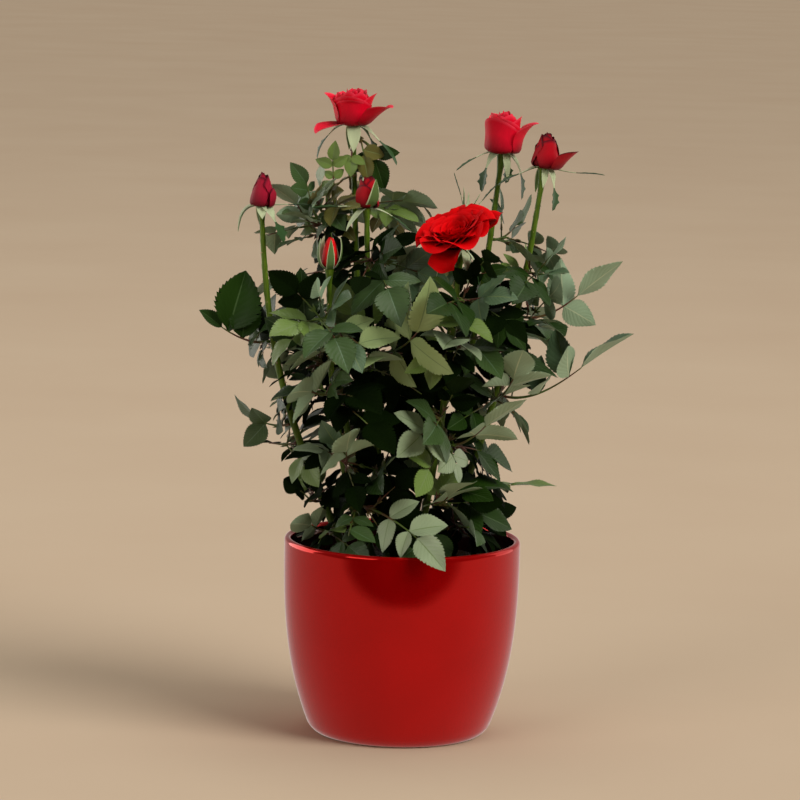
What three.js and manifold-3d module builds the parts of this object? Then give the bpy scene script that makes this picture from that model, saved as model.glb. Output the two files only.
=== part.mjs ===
// A miniature rose bush in its glazed pot.
// Millimetres, +Z up. The origin is the centre of the pot's flat underside,
// -Y is the front.
import * as THREE from "three";
import { mergeVertices } from "three/addons/utils/BufferGeometryUtils.js";
import Module from "manifold-3d";

const wasm = await Module();
wasm.setup();

// ---- Driving dimensions ----

const GAP = 0.3; // between two pieces that touch
const CLEARANCE = 0.45; // least gap between leaves, petals and everything they pass

const POT = {
  height: 125,
  rimRadius: 75,
  narrowing: 19, // how much slimmer the foot is than the rim
  curve: 2.85, // how late the wall turns in towards the foot
  footRadius: 50,
  cornerHeight: 6,
  wall: 4.5,
  floor: 6,
  lip: 2.2, // radius of the rounded lip
  sides: 32,
};
const SOIL_TOP = 108;

// A cane rises from its foot at soil level to its head, the top of its hip.
// bow is how far its middle stands off the straight line between the two.
const CANE = {
  foot: 2.9, head: 1.8, flare: 0.6, flareHeight: 4, flareRings: [3, 8], sides: 6, steps: 6,
};
const HIP = { length: 7, bloom: 3.3, bud: 2.5, shape: [[0.4, 0.9], [0.8, 1], [1, 0.75]] };
const CANES = {
  cane_left: { foot: [-32, -8], head: [-93, -10, 336], bow: [-15, 0], hip: HIP.bud },
  cane_front_left: { foot: [-21, -20], head: [-49, -45, 301], bow: [-8, 0], hip: HIP.bud },
  cane_centre: { foot: [-7, -8], head: [-27, -20, 337], bow: [-4, 0], hip: HIP.bud },
  cane_back_left: { foot: [-9, 17], head: [-37, 20, 386], bow: [-6, 2], hip: HIP.bloom },
  cane_front: { foot: [7, -15], head: [32, -34, 315], bow: [4, -4], hip: HIP.bloom },
  cane_back_right: { foot: [13, 13], head: [58, 25, 371], bow: [5, 4], hip: HIP.bloom },
  cane_right: { foot: [21, -2], head: [84, 5, 363], bow: [9, 0], hip: HIP.bloom },
  cane_spent: { foot: [2, 3], head: [36, 15, 329], bow: [3, 4], hip: HIP.bud },
  cane_young: { foot: [-19, 5], head: [-52, 12, 340], bow: [-6, -2], hip: 0 },
};

// ---- Repeatable chance ----

// A number from 0 to 1 that depends only on its seed and its place in the order
function chance(seed, place) {
  const wave = Math.sin(seed * 127.1 + place * 311.7) * 43758.5453;
  return wave - Math.floor(wave);
}

const between = (low, high, share) => low + (high - low) * share;
const GOLDEN_ANGLE = 137.5; // degrees from one leaf or petal to the next

// ---- Solids from three.js shapes ----

const UP = new THREE.Vector3(0, 0, 1);
const vec = (place) => new THREE.Vector3(...place);

function toSolid(geometry) {
  const shape = geometry.clone();
  shape.deleteAttribute("normal");
  shape.deleteAttribute("uv");
  const merged = mergeVertices(shape);
  const mesh = new wasm.Mesh({
    numProp: 3,
    vertProperties: new Float32Array(merged.attributes.position.array),
    triVerts: new Uint32Array(merged.index.array),
  });
  return new wasm.Manifold(mesh);
}

// Fuses solids into one closed body. Sealed hollows are filled and scraps dropped.
function fuse(solids) {
  const bodies = wasm.Manifold.union(solids).decompose();
  return bodies.reduce((best, body) => (body.volume() > best.volume() ? body : best));
}

function toMesh(name, solid, material) {
  const { vertProperties, triVerts } = solid.getMesh();
  const geometry = new THREE.BufferGeometry();
  geometry.setAttribute("position", new THREE.BufferAttribute(vertProperties, 3));
  geometry.setIndex(new THREE.BufferAttribute(triVerts, 1));
  geometry.computeVertexNormals();
  const mesh = new THREE.Mesh(geometry, material);
  mesh.name = name;
  return mesh;
}

// Moves each vertex of a shape to where rule puts it
function reshape(geometry, rule) {
  const position = geometry.attributes.position;
  const vertex = new THREE.Vector3();
  for (let i = 0; i < position.count; i += 1) {
    vertex.fromBufferAttribute(position, i);
    const moved = rule(vertex.clone());
    position.setXYZ(i, moved.x, moved.y, moved.z);
  }
  return geometry;
}

// Puts a local shape in its place: X runs along, Z is its face
function placed(geometry, root, along, face) {
  const across = face.clone().cross(along).normalize();
  const normal = along.clone().cross(across).normalize();
  const matrix = new THREE.Matrix4().makeBasis(along, across, normal).setPosition(root);
  return geometry.applyMatrix4(matrix);
}

// A tapering limb: a cylinder whose rings follow a path, each with its own radius
function limb(path, radii, sides, firstAlong = null) {
  const steps = path.length - 1;
  const frames = [];
  let side = null;
  path.forEach((point, i) => {
    const before = path[Math.max(i - 1, 0)];
    const after = path[Math.min(i + 1, steps)];
    const along = i === 0 && firstAlong ? firstAlong : after.clone().sub(before).normalize();
    if (!side) {
      const level = Math.abs(along.z) < 0.9 ? UP : new THREE.Vector3(1, 0, 0);
      side = level.clone();
    }
    side = side.clone().addScaledVector(along, -side.dot(along)).normalize();
    frames.push({ point, side, other: side.clone().cross(along), radius: radii[i] });
  });
  const tube = new THREE.CylinderGeometry(1, 1, 1, sides, steps);
  reshape(tube, (vertex) => {
    const frame = frames[Math.round((vertex.y + 0.5) * steps)];
    return frame.point.clone()
      .addScaledVector(frame.side, vertex.x * frame.radius)
      .addScaledVector(frame.other, vertex.z * frame.radius);
  });
  return toSolid(tube);
}

// ---- What is already in place ----

const standing = [];

function boxesMeet(a, b) {
  return [0, 1, 2].every(
    (axis) => a.min[axis] < b.max[axis] + CLEARANCE && b.min[axis] < a.max[axis] + CLEARANCE,
  );
}

// True where a new solid keeps a clearance to all that stands, except what it may touch
function isClear(solid, mayTouch, clearance = CLEARANCE) {
  const box = solid.boundingBox();
  return standing.every((other) => mayTouch(other)
    || !boxesMeet(box, other.box)
    || solid.minGap(other.solid, clearance) >= clearance);
}

function stand(solid, node, part = "") {
  standing.push({ solid, node, part, box: solid.boundingBox() });
}

// ---- Pot and root ball ----

const potRadius = (z) => POT.rimRadius - POT.narrowing * (1 - z / POT.height) ** POT.curve;
const wallHeights = [26, 62, SOIL_TOP, POT.height - POT.lip - 1];

function makePot() {
  const corner = new THREE.QuadraticBezierCurve(
    new THREE.Vector2(POT.footRadius, 0),
    new THREE.Vector2(potRadius(0) - 1, 0),
    new THREE.Vector2(potRadius(POT.cornerHeight), POT.cornerHeight),
  );
  const lipCentre = new THREE.Vector2(POT.rimRadius - POT.lip, POT.height - POT.lip);
  const lip = [0, 60, 120, 180].map((turn) => {
    const angle = THREE.MathUtils.degToRad(turn);
    return new THREE.Vector2(Math.cos(angle), Math.sin(angle)).multiplyScalar(POT.lip).add(lipCentre);
  });
  const profile = [
    new THREE.Vector2(0, 0),
    ...corner.getPoints(2),
    ...wallHeights.map((z) => new THREE.Vector2(potRadius(z), z)),
    ...lip,
    ...wallHeights.toReversed().map((z) => new THREE.Vector2(potRadius(z) - POT.wall, z)),
    new THREE.Vector2(potRadius(POT.floor) - POT.wall - 3, POT.floor),
    new THREE.Vector2(0, POT.floor),
  ];
  return toSolid(new THREE.LatheGeometry(profile, POT.sides).rotateX(Math.PI / 2));
}

function makeRootBall() {
  const heights = wallHeights.filter((z) => z <= SOIL_TOP);
  const profile = [
    new THREE.Vector2(0, POT.floor + GAP),
    new THREE.Vector2(potRadius(POT.floor) - POT.wall - 3 - GAP, POT.floor + GAP),
    ...heights.map((z) => new THREE.Vector2(potRadius(z) - POT.wall - GAP, z)),
    new THREE.Vector2(0, SOIL_TOP),
  ];
  return toSolid(new THREE.LatheGeometry(profile, POT.sides).rotateX(Math.PI / 2));
}

// ---- Canes, each with its hip and sepals ----

function canePoint(cane, t) {
  const foot = new THREE.Vector3(...cane.foot, SOIL_TOP + GAP);
  const sway = Math.sin(Math.PI * t);
  const point = foot.lerp(vec(cane.head), t);
  return point.add(new THREE.Vector3(cane.bow[0] * sway, cane.bow[1] * sway, 0));
}

function caneAlong(cane, t) {
  const step = 0.01;
  return canePoint(cane, t + step).sub(canePoint(cane, t - step)).normalize();
}

function caneRadius(cane, t) {
  const rise = (cane.head[2] - SOIL_TOP) * t;
  return between(CANE.foot, CANE.head, t) * (1 + CANE.flare * Math.exp(-rise / CANE.flareHeight));
}

// Where a cane passes a height, as its share from foot to head
const caneShare = (cane, height) => (height - SOIL_TOP - GAP) / (cane.head[2] - SOIL_TOP - GAP);

function makeCaneLimb(cane) {
  const length = canePoint(cane, 0).distanceTo(canePoint(cane, 1));
  const hipStart = 1 - HIP.length / length;
  const shares = [0, ...CANE.flareRings.map((height) => height / length)];
  const flareEnd = shares[shares.length - 1];
  for (let i = 1; i <= CANE.steps; i += 1) {
    shares.push(between(flareEnd, cane.hip ? hipStart : 1, i / CANE.steps));
  }
  const radii = shares.map((t) => caneRadius(cane, t));
  if (cane.hip) {
    HIP.shape.forEach(([place, swell]) => {
      shares.push(between(hipStart, 1, place));
      radii.push(cane.hip * swell);
    });
  }
  return limb(shares.map((t) => canePoint(cane, t)), radii, CANE.sides, UP);
}

// A leaf blade or sepal along X, of eight faces: broadest below its middle, folded
// up along its midrib, and bent down to its tip
function makeBlade({ length, width, thickness, fold, bend }) {
  return reshape(new THREE.OctahedronGeometry(1, 0), (vertex) => {
    const share = ((1 + vertex.x) / 2) ** 1.25;
    const across = vertex.y * width * 0.5;
    const lift = fold * Math.abs(across) - bend * length * share * share;
    return new THREE.Vector3(share * length, across, vertex.z * thickness * 0.5 + lift);
  });
}

// Five sepals round the top of a hip. tilt is measured from straight up:
// clasping sepals have a small one, reflexed ones hang below the level.
const SEPALS = {
  count: 5, width: 4.6, thickness: 1, fold: 0.2, below: 2.2, footShare: 0.35, tries: 8, tiltStep: 7,
};
function makeSepals(name, cane, { length, tilt, bend }, seed) {
  const along = caneAlong(cane, 1);
  const side = new THREE.Vector3(1, 0, 0).cross(along).normalize();
  const sepals = [];
  for (let i = 0; i < SEPALS.count; i += 1) {
    const turn = (i + 0.3 * chance(seed, i)) * ((2 * Math.PI) / SEPALS.count);
    const out = side.clone().applyAxisAngle(along, turn);
    const size = length * between(0.85, 1.15, chance(seed, i + 10));
    for (let attempt = 0; attempt < SEPALS.tries; attempt += 1) {
      const angle = THREE.MathUtils.degToRad(tilt + attempt * SEPALS.tiltStep);
      const aim = along.clone().multiplyScalar(Math.cos(angle)).addScaledVector(out, Math.sin(angle));
      const face = along.clone().multiplyScalar(Math.sin(angle)).addScaledVector(out, -Math.cos(angle));
      const root = vec(cane.head)
        .addScaledVector(along, -SEPALS.below)
        .addScaledVector(out, cane.hip * SEPALS.footShare);
      const blade = makeBlade({
        length: size, width: SEPALS.width, thickness: SEPALS.thickness, fold: SEPALS.fold, bend,
      });
      const solid = toSolid(placed(blade, root, aim, face));
      if (isClear(solid, (other) => other.node === name)) {
        sepals.push(solid);
        break;
      }
    }
  }
  return sepals;
}

// ---- Blooms ----

// A petal that stands beside the bloom's axis, which is Z. It rises from the heart,
// leans from the angle low to the angle high, and wraps round the axis.
function makePetal({ width, height, low, high, wrap }) {
  const lens = new THREE.OctahedronGeometry(1, 1);
  const start = THREE.MathUtils.degToRad(low);
  const end = THREE.MathUtils.degToRad(high);
  return reshape(lens, (vertex) => {
    const share = (1 + vertex.x) / 2;
    const lean = between(start, end, share);
    const out = (height * (Math.cos(start) - Math.cos(lean))) / (end - start);
    const rise = (height * (Math.sin(lean) - Math.sin(start))) / (end - start);
    const turn = (-vertex.y * width * between(0.4, 0.62, share)) / wrap;
    const radius = wrap + vertex.z * PETAL_THICKNESS * 0.5;
    const inward = radius * Math.cos(turn) - wrap;
    return new THREE.Vector3(
      out + inward * Math.cos(lean),
      radius * Math.sin(turn),
      rise - inward * Math.sin(lean),
    );
  });
}

// A bloom's petals stand in a spiral round its heart, an egg of the given radius and
// half height. Each petal is worked out between the innermost and the outermost one.
// late is how much of the opening is left to the outermost petals.
const PETAL_THICKNESS = 1.2;
const BLOOMS = {
  bloom_top_left: {
    cane: "cane_back_left", axis: [-0.05, -0.12, 1], heart: [6.5, 10], petals: 9, late: 1.3,
    inner: { width: 14, height: 21, low: 16, high: -12, wrap: 7, foot: 4.5 },
    outer: { width: 21, height: 28, low: 42, high: 118, wrap: 18, foot: 4 },
    sepals: { length: 21, tilt: 118, bend: 0.28 },
  },
  bloom_top_right: {
    cane: "cane_back_right", axis: [0.1, -0.1, 1], heart: [6.5, 10], petals: 8, late: 1.5,
    inner: { width: 13, height: 20, low: 18, high: -14, wrap: 7, foot: 4.5 },
    outer: { width: 18, height: 23, low: 44, high: 48, wrap: 13, foot: 4.5 },
    sepals: { length: 20, tilt: 112, bend: 0.3 },
  },
  bloom_right: {
    cane: "cane_right", axis: [0.12, -0.05, 1], heart: [5.5, 9.5], petals: 6, late: 2.5,
    inner: { width: 12, height: 18, low: 20, high: -18, wrap: 6, foot: 4 },
    outer: { width: 15, height: 20, low: 36, high: 70, wrap: 10, foot: 3.5 },
    sepals: { length: 20, tilt: 105, bend: 0.25 },
  },
  bloom_front: {
    cane: "cane_front", axis: [-0.28, -0.42, 0.86], heart: [7, 8], petals: 13, late: 1.1,
    inner: { width: 12, height: 15, low: 8, high: -22, wrap: 7, foot: 4 },
    outer: { width: 25, height: 28, low: 78, high: 122, wrap: 22, foot: 3 },
    sepals: { length: 18, tilt: 120, bend: 0.2 },
  },
  bud_left: {
    cane: "cane_left", axis: [0.06, 0, 1], heart: [6.2, 10.5], petals: 3, late: 1,
    inner: { width: 12, height: 20, low: 26, high: -30, wrap: 6.5, foot: 4 },
    outer: { width: 12, height: 19, low: 30, high: -20, wrap: 7, foot: 4.4 },
    sepals: { length: 19, tilt: 118, bend: 0.25 },
  },
  bud_centre: {
    cane: "cane_centre", axis: [0, 0, 1], heart: [5.8, 9.8], petals: 3, late: 1,
    inner: { width: 11, height: 18, low: 26, high: -28, wrap: 6, foot: 3.8 },
    outer: { width: 12, height: 17, low: 30, high: -16, wrap: 6.5, foot: 4.2 },
    sepals: { length: 17, tilt: 36, bend: -0.1 },
  },
  bud_front_left: {
    cane: "cane_front_left", axis: [0.05, 0, 1], heart: [5.6, 9.6], petals: 2, late: 1,
    inner: { width: 11, height: 17.5, low: 26, high: -28, wrap: 6, foot: 3.6 },
    outer: { width: 11, height: 17, low: 28, high: -26, wrap: 6, foot: 4 },
    sepals: { length: 19, tilt: 30, bend: -0.12 },
  },
  bud_spent: {
    cane: "cane_spent", axis: [0, 0, 1], heart: [2.6, 4], petals: 0,
    sepals: { length: 26, tilt: 30, bend: -0.05 },
  },
};

function makeBloom(bloom) {
  const cane = CANES[bloom.cane];
  const [radius, halfHeight] = bloom.heart;
  const axis = vec(bloom.axis).normalize();
  const turn = new THREE.Quaternion().setFromUnitVectors(UP, axis);
  const heart = new THREE.SphereGeometry(1, 8, 5).rotateX(Math.PI / 2);
  heart.scale(radius, radius, halfHeight).translate(0, 0, halfHeight);
  const shapes = [heart];
  for (let i = 0; i < bloom.petals; i += 1) {
    const opening = (i / (bloom.petals - 1)) ** bloom.late;
    const size = {};
    Object.keys(bloom.inner).forEach((key) => {
      size[key] = between(bloom.inner[key], bloom.outer[key], opening);
    });
    const petal = makePetal(size);
    petal.translate(size.foot, 0, halfHeight * 0.25);
    petal.rotateZ(THREE.MathUtils.degToRad(i * GOLDEN_ANGLE));
    shapes.push(petal);
  }
  // A leaning egg dips below the point that it stands on, so it is lifted by that much
  const along = caneAlong(cane, 1);
  const lean = along.angleTo(axis);
  const dip = Math.hypot(radius * Math.sin(lean), halfHeight * Math.cos(lean))
    - halfHeight * Math.cos(lean);
  const seat = vec(cane.head).addScaledVector(along, GAP + dip);
  return fuse(shapes.map((shape) => toSolid(shape.applyQuaternion(turn).translate(...seat))));
}

// ---- Foliage ----

// A compound leaf: a midrib, one leaflet at its tip and pairs below it. Each pair has
// its place along the midrib and its size against the leaflet at the tip. Where the
// midrib is short it has one pair.
const LEAF = {
  length: 2.3, // of a full leaf against its end leaflet
  shortest: 1.5, // of a cramped leaf against its end leaflet
  twoPairs: [{ place: 0.8, size: 0.88 }, { place: 0.36, size: 0.7 }],
  onePair: [{ place: 0.66, size: 0.86 }],
  shortRib: 1, // against the end leaflet
  spread: 62, // degrees between a side leaflet and the midrib
  width: 0.68,
  thickness: 0.03,
  fold: 0.22,
  ribFoot: 0.9,
  ribTip: 0.75,
  sink: 0.3, // how far a leaflet's foot is sunk past the midrib's axis
  facing: 1.1, // how far the blades turn out of the crown, against up
};
const SHOOT = { radius: 1.4, steps: 3, shortest: 8 };

// Each foliage mass is a shoot with leaves round it: the cane that carries it, the
// height at which it leaves, where its end leaflet's tip is, the angle at which
// that leaflet points above the level, the roll of its leaf, the length of its end
// leaflet, and the number of leaves beside it.
const MASSES = [
  ["left_arch", "cane_young", 316, [-88, 2, 350], 5, -40, 24, 1],
  ["left_shoulder", "cane_young", 316, [-80, -20, 334], 12, -50, 27, 1],
  ["left_upright", "cane_front_left", 240, [-66, -44, 300], 76, 50, 36, 1],
  ["left_big", "cane_left", 250, [-130, -18, 270], 42, -90, 18, 1],
  ["left_outer", "cane_left", 198, [-110, -5, 213], 52, -95, 28, 1],
  ["left_lower", "cane_left", 186, [-106, 2, 184], -15, 30, 30, 1],
  ["left_foot", "cane_left", 150, [-76, -24, 165], 5, 40, 28, 1],
  ["left_back", "cane_left", 244, [-104, 52, 268], 5, -20, 33, 1],
  ["rim_left", "cane_left", 132, [-72, -40, 141], -8, 30, 26, 1],
  ["front_left_high", "cane_front_left", 270, [-84, -78, 262], -18, -30, 35, 2],
  ["front_left_mid", "cane_front_left", 222, [-74, -82, 230], -5, 35, 36, 2],
  ["front_left_low", "cane_front_left", 178, [-34, -80, 206], 20, -30, 36, 2],
  ["rim_front", "cane_front_left", 150, [27, -88, 121], -32, 15, 31, 1],
  ["centre_high", "cane_centre", 304, [-6, -62, 318], 15, 20, 34, 2],
  ["centre_leaf", "cane_centre", 246, [17, -92, 298], 72, 55, 42, 2],
  ["centre_left", "cane_centre", 236, [-26, -88, 250], -20, -40, 37, 2],
  ["centre_low", "cane_centre", 168, [-18, -68, 166], -20, 30, 36, 2],
  ["young_top", "cane_young", 330, [-58, 10, 366], 60, 30, 24, 2],
  ["young_back", "cane_young", 292, [-58, 66, 312], 20, -20, 33, 2],
  ["young_low", "cane_young", 222, [-62, 70, 232], 0, 20, 34, 1],
  ["back_left_high", "cane_back_left", 332, [-14, 34, 350], 15, 40, 27, 2],
  ["back_left_mid", "cane_back_left", 268, [-12, 98, 284], 5, -15, 36, 2],
  ["back_left_low", "cane_back_left", 196, [-30, 82, 178], -12, 20, 34, 1],
  ["front_right_face", "cane_front", 256, [60, -62, 238], -50, 20, 36, 2],
  ["front_right_high", "cane_front", 282, [66, -66, 290], 0, 35, 34, 1],
  ["front_right_low", "cane_front", 208, [14, -88, 200], -10, -30, 36, 2],
  ["front_right_low_b", "cane_front", 190, [74, -62, 226], 25, -62, 36, 1],
  ["front_low", "cane_front", 152, [42, -66, 176], 20, 10, 35, 2],
  ["spent_high", "cane_spent", 296, [12, 24, 336], 40, -30, 29, 2],
  ["spent_back", "cane_spent", 250, [36, 96, 258], 0, 15, 36, 2],
  ["right_face", "cane_right", 215, [71, -60, 257], 60, 75, 30, 1],
  ["back_right_high", "cane_back_right", 314, [80, 40, 341], 50, -45, 32, 1],
  ["back_right_mid", "cane_back_right", 268, [94, 78, 262], -5, -25, 34, 1],
  ["back_right_low", "cane_back_right", 182, [50, 80, 168], -10, 20, 34, 1],
  ["right_upper", "cane_right", 296, [100, -22, 299], 10, 55, 28, 1],
  ["right_high", "cane_right", 268, [134, 8, 305], 38, -97, 36, 1],
  ["right_mid", "cane_right", 218, [142, -8, 261], 32, 32, 40, 1],
  ["right_low", "cane_right", 162, [97, -4, 163], -4, 4, 30, 1],
  ["rim_right", "cane_right", 136, [50, -62, 134], -24, -20, 28, 1],
  ["rim_right_back", "cane_right", 138, [74, 28, 142], -12, 20, 28, 1],
];

// End leaves that don't lie flat: how far their side leaflets are raised from the leaf,
// how wide these spread, their size against the others', and on which sides they grow
const FLAT = { raise: 0, spread: LEAF.spread, size: 1, hands: [-1, 1] };
const HABITS = {
  left_big: { ...FLAT, spread: 84, size: 2.5, hands: [-1] },
  left_outer: { ...FLAT, raise: 0.6 },
  right_high: { ...FLAT, raise: 0.7 },
  right_mid: { ...FLAT, raise: 1.3, size: 0.9 },
  right_low: { ...FLAT, size: 0.6 },
};

function makeLeaflet({ root, aim, face, length, bend }) {
  const blade = makeBlade({
    length, width: length * LEAF.width, thickness: length * LEAF.thickness, fold: LEAF.fold, bend,
  });
  return toSolid(placed(blade, root, aim, face));
}

// The stalk that carries a leaf, from the curve's start to the foot of its end leaflet
function makeStalk(curve, end, from, to, steps, firstAlong = null) {
  const shares = Array.from({ length: steps + 1 }, (_, i) => i / steps);
  const path = shares.map((share) => curve.getPointAt(share * end));
  return limb(path, shares.map((share) => between(from, to, share)), 3, firstAlong);
}

// The upper side of a leaf that runs along: up and out of the crown, then rolled
function leafFace(point, along, roll) {
  const outward = point.clone().setZ(0).normalize().multiplyScalar(LEAF.facing);
  const face = outward.add(UP);
  face.addScaledVector(along, -face.dot(along)).normalize();
  return face.applyAxisAngle(along, THREE.MathUtils.degToRad(roll));
}

// The leaflets of a leaf along a curve, whose midrib runs from start to end. The end
// leaflet reaches on to the curve's own end.
function planLeaflets(curve, start, end, roll, seed, habit = FLAT) {
  const tip = curve.getPointAt(1);
  const ribTip = curve.getPointAt(end);
  const tipAim = tip.clone().sub(ribTip).normalize();
  const tipRoot = ribTip.clone().addScaledVector(tipAim, -LEAF.sink);
  const tipLength = tip.distanceTo(tipRoot);
  const bendOf = (draw) => between(0.05, 0.16, chance(seed, draw));
  const leaflets = [{
    root: tipRoot, aim: tipAim, face: leafFace(ribTip, tipAim, roll), length: tipLength, bend: bendOf(0),
  }];
  const isShort = (end - start) * curve.getLength() < tipLength * LEAF.shortRib;
  const pairs = isShort ? LEAF.onePair : LEAF.twoPairs;
  pairs.forEach((pair, level) => {
    const place = between(start, end, pair.place);
    const point = curve.getPointAt(place);
    const along = curve.getTangentAt(place);
    const face = leafFace(point, along, roll);
    habit.hands.forEach((hand) => {
      const draw = 3 + level * 2 + (hand + 1) / 2;
      const wander = between(-8, 8, chance(seed, draw));
      const spread = THREE.MathUtils.degToRad(hand * (habit.spread + wander));
      const aim = along.clone().applyAxisAngle(face, spread);
      aim.addScaledVector(face, habit.raise + between(-0.2, 0.12, chance(seed, draw + 10))).normalize();
      const root = point.clone().addScaledVector(aim, -LEAF.sink);
      const length = tipLength * pair.size * habit.size * between(0.92, 1.06, chance(seed, draw + 20));
      leaflets.push({ root, aim, face, length, bend: bendOf(draw + 30) });
    });
  });
  return leaflets;
}

// How far the crown reaches from the pot's axis at a height
function crownRadius(z) {
  const spread = between(66, 102, THREE.MathUtils.smoothstep(z, 130, 270));
  return spread * between(1, 0.55, THREE.MathUtils.smoothstep(z, 300, 370));
}

function isInCrown({ root, aim, length }) {
  const middle = root.clone().addScaledVector(aim, length * 0.5);
  return Math.hypot(middle.x, middle.y) < crownRadius(middle.z);
}

// The leaflets as solids that touch nothing but the stalk they grow on. One that is in
// the way is tried smaller and then left out.
const SHRINKS = [1, 0.82, 0.66];
function growLeaflets(leaflets, stalk) {
  return leaflets.flatMap((leaflet) => {
    const sizes = SHRINKS.map((size) => makeLeaflet({ ...leaflet, length: leaflet.length * size }));
    const fitting = sizes.find((blade) => isClear(blade, (other) => other.solid === stalk));
    return fitting ? [fitting] : [];
  });
}

// The curve of a mass's main shoot: out from its cane, then to its end leaflet's tip
function shootCurve(cane, height, tip, pitch) {
  const share = caneShare(cane, height);
  const along = caneAlong(cane, share);
  const axisPoint = canePoint(cane, share);
  const away = tip.clone().sub(axisPoint);
  away.addScaledVector(along, -away.dot(along)).normalize();
  const root = axisPoint.addScaledVector(away, caneRadius(cane, share) + GAP);
  const reach = root.distanceTo(tip);
  const lift = THREE.MathUtils.degToRad(pitch);
  const tipAim = away.clone().setZ(0).normalize()
    .multiplyScalar(Math.cos(lift))
    .addScaledVector(UP, Math.sin(lift));
  const curve = new THREE.CubicBezierCurve3(
    root,
    root.clone().addScaledVector(away, reach * 0.33),
    tip.clone().addScaledVector(tipAim, -reach * 0.38),
    tip,
  );
  return { curve, away };
}

// The curve of a leaf that grows from the side of a shoot, at an angle to it and turned
// round it
function sideCurve(shoot, place, size, { turn, angle, droop }) {
  const from = shoot.getPointAt(place);
  const along = shoot.getTangentAt(place);
  const sideways = UP.clone().cross(along).normalize();
  sideways.applyAxisAngle(along, THREE.MathUtils.degToRad(turn));
  const open = THREE.MathUtils.degToRad(angle);
  const aim = along.multiplyScalar(Math.cos(open)).addScaledVector(sideways, Math.sin(open));
  aim.setZ(Math.max(aim.z, -0.25) + 0.12).normalize();
  const middle = from.clone().addScaledVector(aim, size * 0.55);
  const end = from.clone().addScaledVector(aim, size).addScaledVector(UP, -droop);
  return new THREE.QuadraticBezierCurve3(from, middle, end);
}

function keepLeaf(mass, stalk, leaflets) {
  stand(stalk, mass.node, "stalk");
  leaflets.forEach((blade) => stand(blade, mass.node, "blade"));
  mass.solids.push(stalk, ...leaflets);
}

// A mass's shoot with its end leaf
const SHIFTS = [0, 6, -6, 12, -12, 18]; // up or down its cane, where a shoot is in the way
function growShoot([label, caneName, height, tipPlace, pitch, roll, leaflet, sideLeaves], seed) {
  const mass = { node: `foliage_${label}`, leaflet, sideLeaves, seed, solids: [] };
  const shoots = SHIFTS.map((shift) => {
    const { curve, away } = shootCurve(CANES[caneName], height + shift, vec(tipPlace), pitch);
    const length = curve.getLength();
    const room = length - SHOOT.shortest;
    const start = 1 - Math.min(leaflet * LEAF.length, room) / length;
    const end = 1 - Math.min(leaflet, room / LEAF.shortest) / length;
    const stalk = makeStalk(curve, end, SHOOT.radius, LEAF.ribTip, SHOOT.steps + 2, away);
    return { curve, start, end, stalk };
  });
  const free = shoots.find(({ stalk }) => isClear(stalk, () => false, GAP * 0.9));
  const { curve, start, end, stalk } = free ?? shoots[0];
  const leaflets = growLeaflets(planLeaflets(curve, start, end, roll, seed, HABITS[label]), null);
  keepLeaf(mass, stalk, leaflets);
  return { ...mass, curve, start };
}

// The leaves beside a mass's end leaf, spaced along its shoot and turned round it. A
// leaf that is in the way is tried again, turned further and opened wider.
const SIDE = { tries: 10, turnStep: 40, angle: 60, angleStep: 6 };
const FEWEST_LEAFLETS = 3;
function growSideLeaves(mass) {
  const { curve, start, seed } = mass;
  for (let i = 0; i < mass.sideLeaves; i += 1) {
    const place = start * between(0.45, 0.98, (i + 1) / mass.sideLeaves);
    const size = mass.leaflet * between(0.82, 1, chance(seed, 50 + i));
    const length = size * LEAF.length * between(0.8, 1, chance(seed, 55 + i));
    const droop = length * between(0.08, 0.3, chance(seed, 70 + i));
    const firstTurn = (i + 1) * GOLDEN_ANGLE + chance(seed, 60 + i) * 60;
    let done = false;
    for (let attempt = 0; attempt < SIDE.tries && !done; attempt += 1) {
      const turn = firstTurn + attempt * SIDE.turnStep;
      const angle = SIDE.angle + attempt * SIDE.angleStep;
      const side = sideCurve(curve, place, length, { turn, angle, droop });
      const sideEnd = 1 - size / side.getLength();
      const stalk = makeStalk(side, sideEnd, LEAF.ribFoot, LEAF.ribTip, 2);
      const stalkClear = isClear(stalk, (other) => other.node === mass.node && other.part === "stalk");
      const sideRoll = between(-30, 30, chance(seed, 80 + i + attempt * 7));
      const plan = planLeaflets(side, 0.12, sideEnd, sideRoll, seed + 3.7 * (i + 1));
      const leaflets = stalkClear ? growLeaflets(plan.filter(isInCrown), stalk) : [];
      done = leaflets.length >= FEWEST_LEAFLETS;
      if (done) keepLeaf(mass, stalk, leaflets);
    }
  }
}

// ---- Assembly ----

const glaze = new THREE.MeshStandardMaterial({ color: 0xa00c0c, roughness: 0.12, metalness: 0 });
const soil = new THREE.MeshStandardMaterial({ color: 0x2a1c12, roughness: 0.95, metalness: 0 });
const bark = new THREE.MeshStandardMaterial({ color: 0x5d7a3a, roughness: 0.6, metalness: 0 });
const petals = new THREE.MeshStandardMaterial({ color: 0xb40f18, roughness: 0.5, metalness: 0 });
const leafGreen = new THREE.MeshStandardMaterial({ color: 0x3c5a38, roughness: 0.45, metalness: 0 });

const rose = new THREE.Group();

function add(name, solid, material) {
  rose.add(toMesh(name, solid, material));
}

const pot = makePot();
stand(pot, "pot");
add("pot", pot, glaze);

const rootBall = makeRootBall();
stand(rootBall, "root_ball");
add("root_ball", rootBall, soil);

for (const [name, cane] of Object.entries(CANES)) {
  stand(makeCaneLimb(cane), name);
}

for (const [name, bloom] of Object.entries(BLOOMS)) {
  const solid = makeBloom(bloom);
  stand(solid, name);
  add(name, solid, petals);
}

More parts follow.
